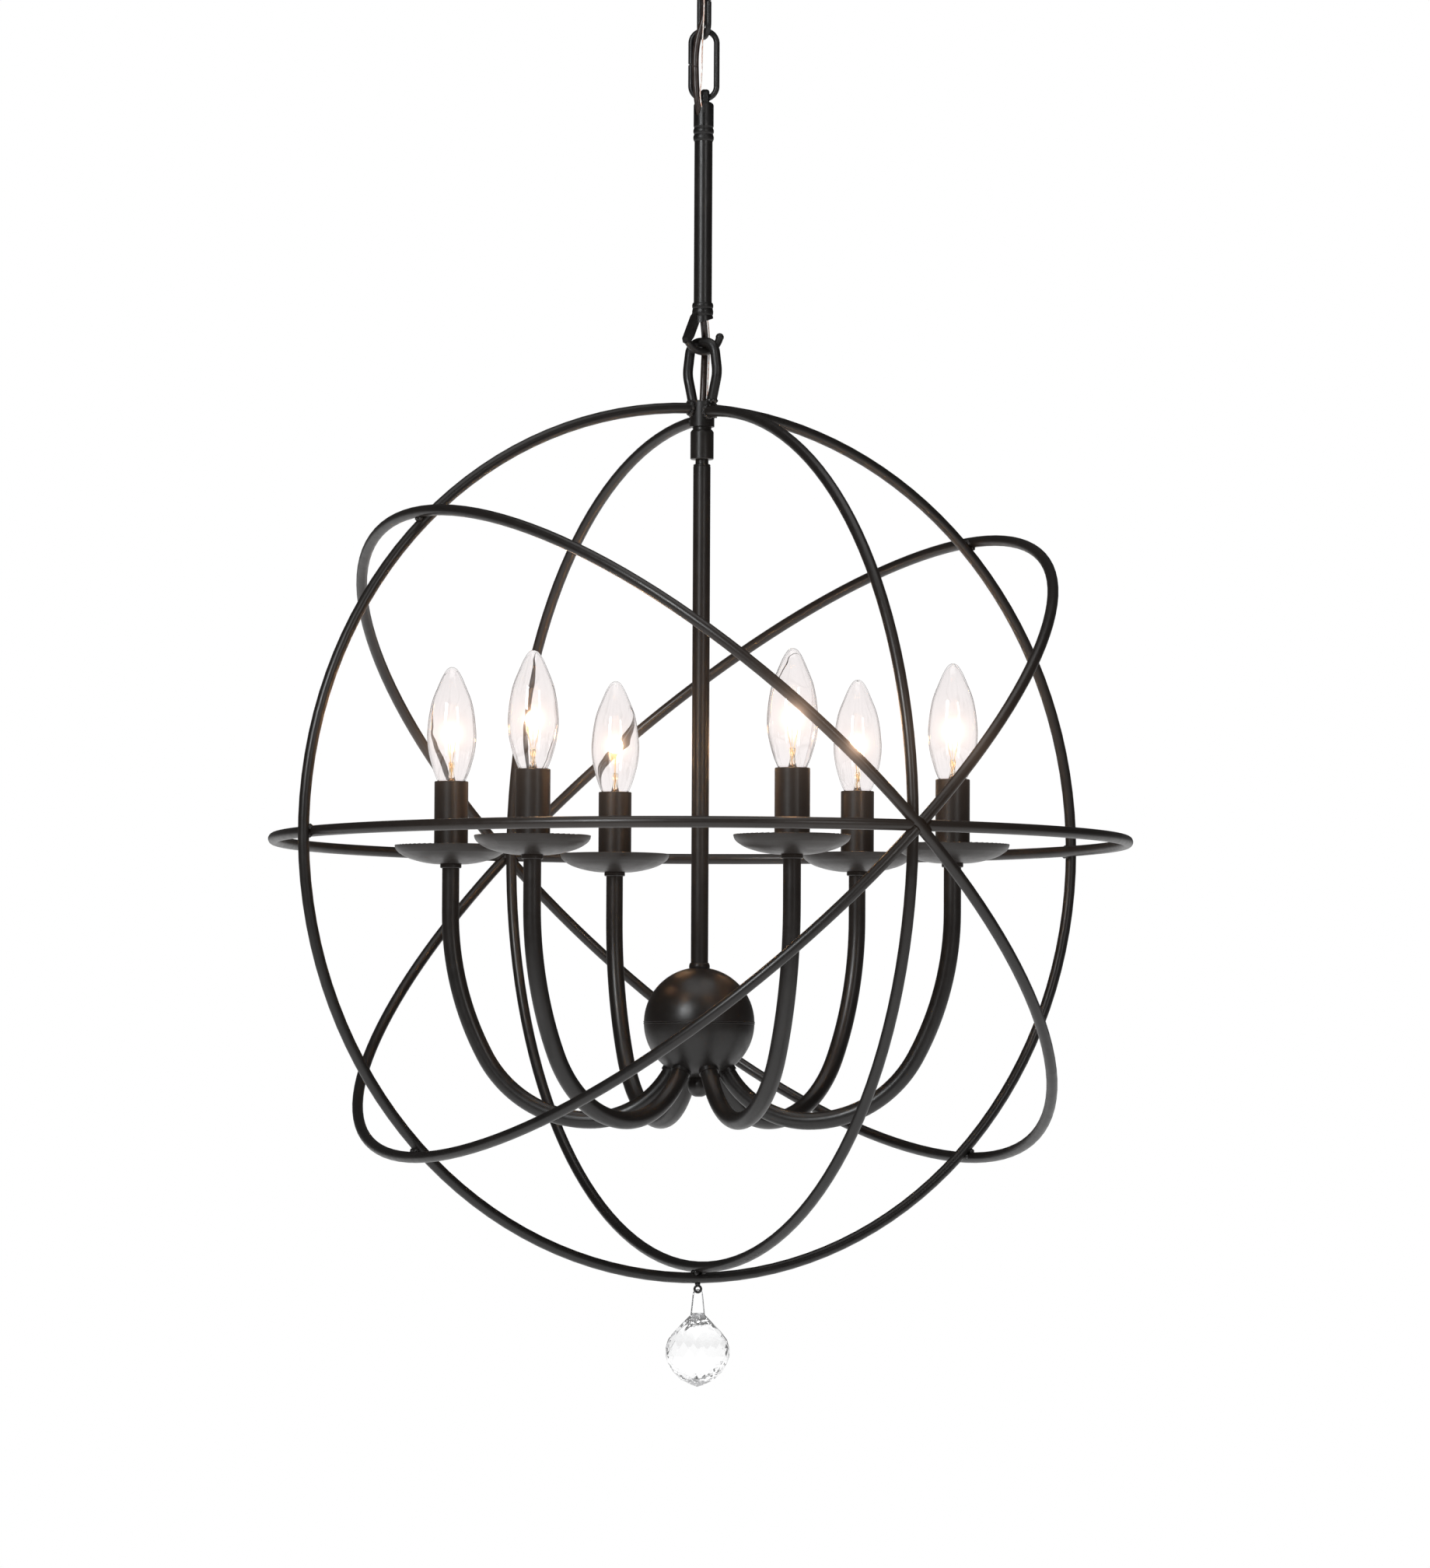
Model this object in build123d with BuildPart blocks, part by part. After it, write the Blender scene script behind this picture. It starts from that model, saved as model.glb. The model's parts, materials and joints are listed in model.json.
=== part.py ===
from build123d import *
import os
from math import asin, cos, sin, tan, pi, radians, sqrt

os.makedirs("parts", exist_ok=True)

# ---------------------------------------------------------------------------
# Orb chandelier, hanging. Millimetres, +Z up, -Y towards the viewer.
# The origin is the middle of the ceiling plane; everything hangs below it.
# Heights are given from the orb's centre (the level ring's plane), which lies
# ORB_Z under the ceiling, unless a comment says otherwise.
# ---------------------------------------------------------------------------
ORB_Z = -705.0

# rings of the orb (round rod, all welded)
ROD = 8.0
OUTER_R = 318.0            # upright outer ring
INNER_R = 310.0            # upright inner ring
OUTER_AZ = 28.3            # plan direction of the outer upright ring's plane
INNER_AZ = OUTER_AZ - 90.0
LEVEL_LONG, LEVEL_SHORT = 318.0, 310.0      # level ring, half axes
TILT_LONG, TILT_SHORT = 326.0, 318.0        # tilted rings, half axes
TILT = 45.0

# hub and column
HUB_R, HUB_LOW, HUB_HIGH = 9.0, 304.5, 322.9
NIPPLE_R, NIPPLE_BORE_R = 4.8, 3.3          # M10 threaded tube, everywhere
THREAD_HOLE_R = 4.85
COUPLING_R, COUPLING_LOW = 8.55, 280.5
TUBE_R, TUBE_BORE_R = 6.35, 5.15            # half inch tube of the column
COLUMN_TOP, COLUMN_BOTTOM = 275.2, -100.0

# ball under the column
BALL_Z, BALL_R, BALL_WALL = -132.3, 40.4, 1.2

# arms and lights
LIGHTS = 6
LIGHT_R = 186.0            # circle of the lights
LIGHT_AZ0 = -9.5
LIGHT_AZ = [LIGHT_AZ0 + 360.0 / LIGHTS * i for i in range(LIGHTS)]
ARM_R, ARM_BORE_R = 6.35, 5.35
ARM_OUT = 30.0             # the arms leave the ball this far from straight down
ARM_START, ARM_BEND = 35.0, 42.5            # distances from the ball's centre
ARM_ARC_1, ARM_ARC_3 = 69.0, 220.0
ARM_RISE = 61.5            # slope at which the second arc ends
ARM_SHOULDER, ARM_TIP = -19.1, -8.0
PAN_R, PAN_RIM, PAN_BOTTOM, PAN_WALL = 41.5, -2.5, -15.9, 1.0
SLEEVE_R, SLEEVE_BORE_R, SLEEVE_TOP = 12.5, 11.3, 44.8

# stem
STEM_R, STEM_BORE_R = 6.65, 5.4
STEM_TOP, STEM_BOTTOM = 521.9, 389.6
HOOK_AZ, HOOK_R, HOOK_ROD, HOOK_LOW = 33.0, 15.5, 5.5, 360.05
LOOP_AZ, LOOP_ROD, LOOP_TOP = -35.0, 7.4, 366.8

# chain
LINK_WIRE, LINK_ARC, LINK_STRAIGHT = 4.3, 9.4, 31.7
LINK_LOWER_TOP, LINK_UPPER_TOP = 597.45, 643.35   # wire centres
LINK_UPPER_AZ = -70.0      # plan direction of the upper link's plane
CANOPY_LOOP_ROD, CANOPY_LOOP_R, CANOPY_LOOP_LOW = 4.7, 9.35, 638.55

# canopy and crossbar, heights from the ceiling plane
CANOPY_R, CANOPY_DROP, CANOPY_WALL = 63.5, 25.0, 1.2
BAR_L, BAR_W, BAR_T = 105.0, 20.0, 1.8
SLOT_SPACING, SLOT_L, SLOT_W = 79.4, 14.4, 4.8

# cord
CORD, GROUND = 4.9, 1.0


def upright(az):
    """Upright plane through the orb's axis; local x points out at az, y up."""
    a = radians(az)
    return Plane(origin=(0, 0, ORB_Z), x_dir=(cos(a), sin(a), 0), z_dir=(sin(a), -cos(a), 0))


def level(height, az=0.0, x=0.0, y=0.0):
    """Level plane at a height over the orb's centre."""
    a = radians(az)
    return Plane(origin=(x, y, ORB_Z + height), x_dir=(cos(a), sin(a), 0), z_dir=(0, 0, 1))


def at(x, y, height):
    return (x, y, ORB_Z + height)


def light_plane(az):
    """Upright plane through one light's own axis."""
    a = radians(az)
    return Plane(origin=(LIGHT_R * cos(a), LIGHT_R * sin(a), ORB_Z),
                 x_dir=(cos(a), sin(a), 0), z_dir=(sin(a), -cos(a), 0))


def light_axis(az):
    a = radians(az)
    return Axis((LIGHT_R * cos(a), LIGHT_R * sin(a), ORB_Z), (0, 0, 1))


def arm_out(az, distance):
    """Plane square to an arm's first run, at a distance from the ball's centre."""
    a, t = radians(az), radians(ARM_OUT)
    d = (sin(t) * cos(a), sin(t) * sin(a), -cos(t))
    return Plane(origin=(distance * d[0], distance * d[1], ORB_Z + BALL_Z + distance * d[2]),
                 x_dir=(-sin(a), cos(a), 0), z_dir=d)


def bend_radii(points):
    """Arc radii of a cord's route: as large as each pair of runs allows."""
    v = [Vector(p) for p in points]
    radii = []
    for i in range(1, len(v) - 1):
        before, after = v[i] - v[i - 1], v[i + 1] - v[i]
        turn = before.get_angle(after)
        shorter = min(before.length, after.length)
        radii.append(min(0.45 * shorter / tan(radians(turn) / 2), 4000.0))
    return radii


AXIS_PLANE = upright(0)
COLUMN = Axis((0, 0, ORB_Z), (0, 0, 1))

# ---------------------------------------------------------------------------
# Ceiling end
# ---------------------------------------------------------------------------
with BuildPart() as mounting_crossbar:
    with BuildSketch(Plane.XY.offset(-BAR_T)):
        RectangleRounded(BAR_L, BAR_W, 3)
        with Locations((-SLOT_SPACING / 2, 0), (SLOT_SPACING / 2, 0)):
            SlotOverall(SLOT_L, SLOT_W, mode=Mode.SUBTRACT)
        with Locations((0, 0)):
            Circle(THREAD_HOLE_R, mode=Mode.SUBTRACT)
        with Locations((20, 0)):
            Circle(2.05, mode=Mode.SUBTRACT)
    extrude(amount=BAR_T)
mounting_crossbar.part.label = "mounting_crossbar"
export_step(mounting_crossbar.part, "parts/mounting_crossbar.step")

with BuildPart() as ground_screw:
    with BuildSketch(Plane.XY.offset(-BAR_T - 2.6)):
        with Locations((20, 0)):
            RegularPolygon(4.2, 6)
    extrude(amount=2.5)
    with BuildSketch(Plane.XY.offset(-BAR_T - 2.6)):
        with Locations((20, 0)):
            Rectangle(9, 1.0)
    extrude(amount=1.0, mode=Mode.SUBTRACT)
    with BuildSketch(Plane.XY.offset(-BAR_T - 0.1)):
        with Locations((20, 0)):
            Circle(1.95)
    extrude(amount=BAR_T)
ground_screw.part.label = "ground_screw"
export_step(ground_screw.part, "parts/ground_screw.step")

with BuildPart() as canopy_nipple:
    with BuildSketch(Plane.XY.offset(-30.0)):
        Circle(NIPPLE_R)
        Circle(3.5, mode=Mode.SUBTRACT)
    extrude(amount=29.4)
canopy_nipple.part.label = "canopy_nipple"
export_step(canopy_nipple.part, "parts/canopy_nipple.step")

with BuildPart() as crossbar_lock_nut:
    with BuildSketch(Plane.XY.offset(-BAR_T - 3.6)):
        RegularPolygon(8.0, 6)
        Circle(THREAD_HOLE_R, mode=Mode.SUBTRACT)
    extrude(amount=3.5)
crossbar_lock_nut.part.label = "crossbar_lock_nut"
export_step(crossbar_lock_nut.part, "parts/crossbar_lock_nut.step")

# spun sheet cover, open at the ceiling
with BuildPart() as canopy:
    with BuildSketch(Plane.XZ):
        with BuildLine():
            Line((CANOPY_R, 0), (CANOPY_R, -5))
            ThreePointArc((CANOPY_R, -5), (46.15, -19.71), (24.0, -CANOPY_DROP))
            Line((24.0, -CANOPY_DROP), (8.3, -CANOPY_DROP))
            Line((8.3, -CANOPY_DROP), (8.3, -CANOPY_DROP + CANOPY_WALL))
            Line((8.3, -CANOPY_DROP + CANOPY_WALL), (24.0, -CANOPY_DROP + CANOPY_WALL))
            ThreePointArc((24.0, -CANOPY_DROP + CANOPY_WALL), (45.6, -18.65), (CANOPY_R - CANOPY_WALL, -4.6))
            Line((CANOPY_R - CANOPY_WALL, -4.6), (CANOPY_R - CANOPY_WALL, 0))
            Line((CANOPY_R - CANOPY_WALL, 0), (CANOPY_R, 0))
        make_face()
    revolve(axis=Axis.Z)
canopy.part.label = "canopy"
export_step(canopy.part, "parts/canopy.step")

with BuildPart() as canopy_collar_nut:
    with BuildSketch(Plane.XZ):
        Polygon((8.1, -25.05), (13.2, -25.05), (14.0, -26.0), (14.0, -30.2), (12.8, -31.6), (8.1, -31.6))
    revolve(axis=Axis.Z)
canopy_collar_nut.part.label = "canopy_collar_nut"
export_step(canopy_collar_nut.part, "parts/canopy_collar_nut.step")

# threaded body with a ring under it, and the cord's way out at its side
EYE_Z = CANOPY_LOOP_LOW + CANOPY_LOOP_R
with BuildPart() as canopy_loop:
    with BuildSketch(Plane.XZ):
        Polygon((0, -20), (7.95, -20), (7.95, -39.5), (5.6, -44.0), (4.2, -47.0), (0, -47.0))
    revolve(axis=Axis.Z)
    with BuildSketch(level(EYE_Z)):
        with Locations((CANOPY_LOOP_R, 0)):
            Circle(CANOPY_LOOP_ROD / 2)
    revolve(axis=Axis(at(0, 0, EYE_Z), (0, 1, 0)))
    with BuildSketch(Plane.XY.offset(-32.5)):
        Circle(THREAD_HOLE_R)
    extrude(amount=12.5, mode=Mode.SUBTRACT)
    with BuildSketch(Plane(origin=(0.2, 1.0, -30.0), z_dir=(-4.7, -6.8, -13.0))):
        Circle(3.95)
    extrude(amount=22, mode=Mode.SUBTRACT)
    with BuildSketch(Plane(origin=(2.9, 0.5, -31.0), z_dir=(-5.4, -8.9, -15.0))):
        Circle(1.3)
    extrude(amount=22, mode=Mode.SUBTRACT)
canopy_loop.part.label = "canopy_loop"
export_step(canopy_loop.part, "parts/canopy_loop.step")

# ---------------------------------------------------------------------------
# Chain links: bent wire, ends butted half way up one side
# ---------------------------------------------------------------------------
for label, top, az in (("chain_link_lower", LINK_LOWER_TOP, 0.0), ("chain_link_upper", LINK_UPPER_TOP, LINK_UPPER_AZ + 180)):
    mid = top - LINK_ARC - LINK_STRAIGHT / 2
    up, down = mid + LINK_STRAIGHT / 2, mid - LINK_STRAIGHT / 2
    with BuildPart() as link:
        with BuildLine(upright(az)) as wire:
            Line((-LINK_ARC, mid + 0.2), (-LINK_ARC, up))
            ThreePointArc((-LINK_ARC, up), (0, up + LINK_ARC), (LINK_ARC, up))
            Line((LINK_ARC, up), (LINK_ARC, down))
            ThreePointArc((LINK_ARC, down), (0, down - LINK_ARC), (-LINK_ARC, down))
            Line((-LINK_ARC, down), (-LINK_ARC, mid - 0.2))
        a = radians(az)
        with BuildSketch(level(mid + 0.2, az, -LINK_ARC * cos(a), -LINK_ARC * sin(a))):
            Circle(LINK_WIRE / 2)
        sweep()
        chamfer(link.faces().filter_by(Axis.Z).edges(), 0.5)
    link.part.label = label
    export_step(link.part, f"parts/{label}.step")

# ---------------------------------------------------------------------------
# Stem
# ---------------------------------------------------------------------------
PIVOT_STEM = 546.95
LUG_LEFT, LUG_RIGHT = -2.2, 4.2
with BuildPart() as stem_top_loop:
    with BuildSketch(AXIS_PLANE):
        with BuildLine():
            Line((0, 515.4), (6.9, 515.4))
            ThreePointArc((6.9, 515.4), (7.6, 518.0), (6.9, 520.55))
            ThreePointArc((6.9, 520.55), (7.6, 522.9), (6.9, 525.2))
            Line((6.9, 525.2), (7.4, 526.4))
            Line((7.4, 526.4), (7.4, 541.2))
            ThreePointArc((7.4, 541.2), (6.95, 543.1), (5.6, 544.2))
            Line((5.6, 544.2), (0, 544.2))
            Line((0, 544.2), (0, 515.4))
        make_face()
    revolve(axis=COLUMN)
    # flattened end, rounded on top and along its rim
    with BuildSketch(upright(0)):
        with BuildLine():
            Line((LUG_LEFT, 548), (LUG_LEFT, 551.8))
            ThreePointArc((LUG_LEFT, 551.8), (LUG_LEFT + 0.644, 553.356), (LUG_LEFT + 2.2, 554))
            Line((LUG_LEFT + 2.2, 554), (LUG_RIGHT - 2.2, 554))
            ThreePointArc((LUG_RIGHT - 2.2, 554), (LUG_RIGHT - 0.644, 553.356), (LUG_RIGHT, 551.8))
            Line((LUG_RIGHT, 551.8), (LUG_RIGHT, 548))
            Line((LUG_RIGHT, 548), (LUG_LEFT, 548))
        make_face()
    revolve(axis=Axis(at(0, 0, 548), (1, 0, 0)))
    with BuildSketch(level(541.5)):
        with Locations(((LUG_LEFT + LUG_RIGHT) / 2, 0)):
            RectangleRounded(LUG_RIGHT - LUG_LEFT - 0.3, 11.5, 2.0)
    extrude(amount=7.0)
    # eye for the link's wire
    with BuildSketch(upright(90)):
        with Locations((0, 546.7)):
            Circle(3.95)
    extrude(amount=8, both=True, mode=Mode.SUBTRACT)
    # seat of the stem tube, then the hollow above it
    with BuildSketch(level(515.4)):
        Circle(STEM_R + 0.05)
    extrude(amount=6.6, mode=Mode.SUBTRACT)
    with BuildSketch(level(521.5)):
        Circle(5.5)
    extrude(amount=12.5, mode=Mode.SUBTRACT)
    # the cord's way in at the front left
    with BuildSketch(Plane(origin=at(-6.1, -6.1, 551.0), z_dir=(2.9, 2.3, -13.5))):
        Circle(3.3)
    extrude(amount=24, mode=Mode.SUBTRACT)
    with BuildSketch(Plane(origin=at(-3.7, -9.7, 549.0), z_dir=(3.7, 5.4, -14.0))):
        Circle(1.1)
    extrude(amount=24, mode=Mode.SUBTRACT)
    # seam of the formed sheet below the flattened end
    with BuildSketch(level(524.0)):
        with Locations((0.2, -7.2)):
            Rectangle(0.5, 1.6)
    extrude(amount=12.0, mode=Mode.SUBTRACT)
stem_top_loop.part.label = "stem_top_loop"
export_step(stem_top_loop.part, "parts/stem_top_loop.step")

with BuildPart() as stem_tube:
    with BuildSketch(level(STEM_BOTTOM)):
        Circle(STEM_R)
        Circle(STEM_BORE_R, mode=Mode.SUBTRACT)
    extrude(amount=STEM_TOP - STEM_BOTTOM)
stem_tube.part.label = "stem_tube"
export_step(stem_tube.part, "parts/stem_tube.step")

HOOK_C = HOOK_LOW + HOOK_R
with BuildPart() as stem_hook:
    with BuildSketch(AXIS_PLANE):
        with BuildLine():
            Line((0, 378.0), (7.7, 378.0))
            Line((7.7, 378.0), (7.7, 385.6))
            Line((7.7, 385.6), (7.3, 386.6))
            ThreePointArc((7.3, 386.6), (7.8, 389.15), (7.3, 391.7))
            ThreePointArc((7.3, 391.7), (7.8, 393.75), (7.3, 395.8))
            Line((7.3, 395.8), (0, 395.8))
            Line((0, 395.8), (0, 378.0))
        make_face()
    revolve(axis=COLUMN)
    # collar cut on the slant
    with BuildSketch(upright(HOOK_AZ)):
        Polygon((-12, 370), (12, 370), (12, 386.4), (-12, 378.6))
    extrude(amount=12, both=True, mode=Mode.SUBTRACT)
    # strip from the collar down to the hook's rod
    with BuildSketch(upright(HOOK_AZ)):
        Polygon((-6.4, 389.0), (-8.6, 386.0), (-15.6, 369.2), (-14.9, 366.2), (-13.2, 365.3),
                (-9.7, 369.6), (-5.6, 379.6), (-4.6, 383.0))
    extrude(amount=3.6, both=True)
    # round hook
    with BuildLine(upright(HOOK_AZ)):
        hook_start = (-HOOK_R * sin(radians(56)), HOOK_C - HOOK_R * cos(radians(56)))
        hook_end = (HOOK_R * sin(radians(76)), HOOK_C - HOOK_R * cos(radians(76)))
        hook_arc = ThreePointArc(hook_start, (0, HOOK_LOW), hook_end)
    with BuildSketch(Plane(origin=hook_arc @ 0, z_dir=hook_arc % 0)):
        Circle(HOOK_ROD / 2)
    sweep()
    hook_tip = hook_arc @ 1
    with Locations(hook_tip):
        Sphere(HOOK_ROD / 2 + 0.3)
    with BuildSketch(level(378.2)):
        Circle(5.5)
    extrude(amount=11.5, mode=Mode.SUBTRACT)
    with BuildSketch(level(STEM_BOTTOM - 0.1)):
        Circle(STEM_R + 0.05)
    extrude(amount=8, mode=Mode.SUBTRACT)
stem_hook.part.label = "stem_hook"
export_step(stem_hook.part, "parts/stem_hook.step")

# ---------------------------------------------------------------------------
# Hanger loop, hub and column
# ---------------------------------------------------------------------------
with BuildPart() as hanger_loop:
    with BuildLine(upright(LOOP_AZ)) as bent:
        FilletPolyline((-7.6, 319.8), (-13.4, 344.0), (-10.2, LOOP_TOP), (10.2, LOOP_TOP), (13.4, 344.0), (7.6, 319.8),
                       radius=[26.0, 9.0, 9.0, 26.0])
    with BuildSketch(Plane(origin=bent.line @ 0, z_dir=bent.line % 0)):
        Circle(LOOP_ROD / 2)
    sweep()
    with BuildSketch(level(310.0)):
        Circle(30)
    extrude(amount=HUB_HIGH - 310.0, mode=Mode.SUBTRACT)
hanger_loop.part.label = "hanger_loop"
export_step(hanger_loop.part, "parts/hanger_loop.step")

with BuildPart() as ring_hub:
    with BuildSketch(AXIS_PLANE):
        Polygon((THREAD_HOLE_R, HUB_LOW), (HUB_R, HUB_LOW), (HUB_R, HUB_HIGH), (THREAD_HOLE_R, HUB_HIGH))
    revolve(axis=COLUMN)
ring_hub.part.label = "ring_hub"
export_step(ring_hub.part, "parts/ring_hub.step")

with BuildPart() as hub_coupling:
    with BuildSketch(AXIS_PLANE):
        Polygon((THREAD_HOLE_R, COUPLING_LOW), (COUPLING_R - 0.5, COUPLING_LOW), (COUPLING_R, COUPLING_LOW + 0.5),
                (COUPLING_R, 300.6), (COUPLING_R - 1.1, 302.2), (6.85, 302.2), (6.85, HUB_LOW), (THREAD_HOLE_R, HUB_LOW))
    revolve(axis=COLUMN)
hub_coupling.part.label = "hub_coupling"
export_step(hub_coupling.part, "parts/hub_coupling.step")

with BuildPart() as column_nipple:
    with BuildSketch(level(262.0)):
        Circle(NIPPLE_R)
        Circle(NIPPLE_BORE_R, mode=Mode.SUBTRACT)
    extrude(amount=44.0)
column_nipple.part.label = "column_nipple"
export_step(column_nipple.part, "parts/column_nipple.step")

with BuildPart() as column_ring_nut:
    with BuildSketch(AXIS_PLANE):
        Polygon((THREAD_HOLE_R, 275.25), (5.9, 275.25), (6.25, 275.6), (6.25, 276.5), (5.9, 276.9), (THREAD_HOLE_R, 276.9))
    revolve(axis=COLUMN)
column_ring_nut.part.label = "column_ring_nut"
export_step(column_ring_nut.part, "parts/column_ring_nut.step")

with BuildPart() as column_tube:
    with BuildSketch(level(COLUMN_BOTTOM)):
        Circle(TUBE_R)
        Circle(TUBE_BORE_R, mode=Mode.SUBTRACT)
    extrude(amount=COLUMN_TOP - COLUMN_BOTTOM)
column_tube.part.label = "column_tube"
export_step(column_tube.part, "parts/column_tube.step")

with BuildPart() as column_collar:
    with BuildSketch(AXIS_PLANE):
        with BuildLine():
            Line((TUBE_R + 0.05, -93.6), (7.1, -93.6))
            ThreePointArc((7.1, -93.6), (7.6, -90.9), (6.8, -88.6))
            Line((6.8, -88.6), (TUBE_R + 0.05, -88.6))
            Line((TUBE_R + 0.05, -88.6), (TUBE_R + 0.05, -93.6))
        make_face()
    revolve(axis=COLUMN)
    with Locations(at(0, 0, BALL_Z)):
        Sphere(BALL_R + 0.02, mode=Mode.SUBTRACT)
column_collar.part.label = "column_collar"
export_step(column_collar.part, "parts/column_collar.step")

# ball of two spun half shells; the lower one has a lip inside the seam
with BuildPart() as ball_upper_shell:
    with BuildSketch(AXIS_PLANE):
        with BuildLine():
            top_o = sqrt(BALL_R ** 2 - (TUBE_R + 0.1) ** 2)
            inner = BALL_R - BALL_WALL
            top_i = sqrt(inner ** 2 - (TUBE_R + 0.1) ** 2)
            Line((inner, BALL_Z + 0.05), (BALL_R, BALL_Z + 0.05))
            ThreePointArc((BALL_R, BALL_Z + 0.05), (BALL_R * sin(radians(45)), BALL_Z + BALL_R * cos(radians(45))),
                          (TUBE_R + 0.1, BALL_Z + top_o))
            Line((TUBE_R + 0.1, BALL_Z + top_o), (TUBE_R + 0.1, BALL_Z + top_i))
            ThreePointArc((TUBE_R + 0.1, BALL_Z + top_i), (inner * sin(radians(45)), BALL_Z + inner * cos(radians(45))),
                          (inner, BALL_Z + 0.05))
        make_face()
    revolve(axis=COLUMN)
ball_upper_shell.part.label = "ball_upper_shell"
export_step(ball_upper_shell.part, "parts/ball_upper_shell.step")

with BuildPart() as ball_lower_shell:
    with BuildSketch(AXIS_PLANE):
        with BuildLine():
            low_o = sqrt(BALL_R ** 2 - 4.9 ** 2)
            inner = BALL_R - BALL_WALL
            low_i = sqrt(inner ** 2 - 4.9 ** 2)
            Line((inner, BALL_Z - 0.05), (BALL_R, BALL_Z - 0.05))
            ThreePointArc((BALL_R, BALL_Z - 0.05), (BALL_R * sin(radians(45)), BALL_Z - BALL_R * cos(radians(45))),
                          (4.9, BALL_Z - low_o))
            Line((4.9, BALL_Z - low_o), (4.9, BALL_Z - low_i))
            ThreePointArc((4.9, BALL_Z - low_i), (inner * sin(radians(45)), BALL_Z - inner * cos(radians(45))),
                          (inner, BALL_Z - 0.05))
        make_face()
    revolve(axis=COLUMN)
    with BuildSketch(AXIS_PLANE):
        Polygon((37.9, BALL_Z - 3.0), (39.5, BALL_Z - 3.0), (39.05, BALL_Z - 0.05), (39.05, BALL_Z + 2.0), (37.9, BALL_Z + 2.0))
    revolve(axis=COLUMN)
    for az in LIGHT_AZ:
        with BuildSketch(arm_out(az, 30)):
            Circle(ARM_R + 0.1)
        extrude(amount=16, mode=Mode.SUBTRACT)
ball_lower_shell.part.label = "ball_lower_shell"
export_step(ball_lower_shell.part, "parts/ball_lower_shell.step")

# threaded tube through the ball, with a window for the cord
with BuildPart() as ball_center_rod:
    with BuildSketch(level(-180.0)):
        Circle(NIPPLE_R)
        Circle(NIPPLE_BORE_R, mode=Mode.SUBTRACT)
    extrude(amount=86.0)
    with BuildSketch(level(-132.0)):
        with Locations((0, 5.0)):
            Rectangle(12, 10)
    extrude(amount=27.5, mode=Mode.SUBTRACT)
ball_center_rod.part.label = "ball_center_rod"
export_step(ball_center_rod.part, "parts/ball_center_rod.step")

with BuildPart() as ball_rod_nut:
    with BuildSketch(level(COLUMN_BOTTOM - 4.1)):
        RegularPolygon(8.0, 6)
        Circle(THREAD_HOLE_R, mode=Mode.SUBTRACT)
    extrude(amount=4.0)
ball_rod_nut.part.label = "ball_rod_nut"
export_step(ball_rod_nut.part, "parts/ball_rod_nut.step")

with BuildPart() as bottom_finial:
    with BuildSketch(AXIS_PLANE):
        with BuildLine():
            seat = BALL_R + 0.02
            Line((THREAD_HOLE_R, -180.5), (THREAD_HOLE_R, BALL_Z - sqrt(seat ** 2 - THREAD_HOLE_R ** 2)))
            ThreePointArc((THREAD_HOLE_R, BALL_Z - sqrt(seat ** 2 - THREAD_HOLE_R ** 2)), (5.9, BALL_Z - sqrt(seat ** 2 - 5.9 ** 2)),
                          (7.0, BALL_Z - sqrt(seat ** 2 - 7.0 ** 2)))
            Line((7.0, BALL_Z - sqrt(seat ** 2 - 7.0 ** 2)), (7.4, -174.6))
            ThreePointArc((7.4, -174.6), (8.15, -179.2), (5.6, -184.6))
            ThreePointArc((5.6, -184.6), (3.8, -185.8), (1.6, -186.3))
            Line((1.6, -186.3), (0, -186.3))
            Line((0, -186.3), (0, -180.5))
            Line((0, -180.5), (THREAD_HOLE_R, -180.5))
        make_face()
    revolve(axis=COLUMN)
bottom_finial.part.label = "bottom_finial"
export_step(bottom_finial.part, "parts/bottom_finial.step")

with BuildPart() as terminal_block:
    with BuildSketch(level(-148.1)):
        with Locations((1.6, 18.4)):
            RectangleRounded(17.0, 9.5, 1.5)
    extrude(amount=9.0)
    chamfer(terminal_block.edges().group_by(Axis.Z)[-1], 0.6)
    # pockets that the two wires go into
    with BuildSketch(level(-139.1)):
        with Locations((0.1, 17.6)):
            Circle(3.05)
        with Locations((4.4, 17.6)):
            Circle(0.85)
    extrude(amount=-1.5, mode=Mode.SUBTRACT)
terminal_block.part.label = "terminal_block"
export_step(terminal_block.part, "parts/terminal_block.step")

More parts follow.
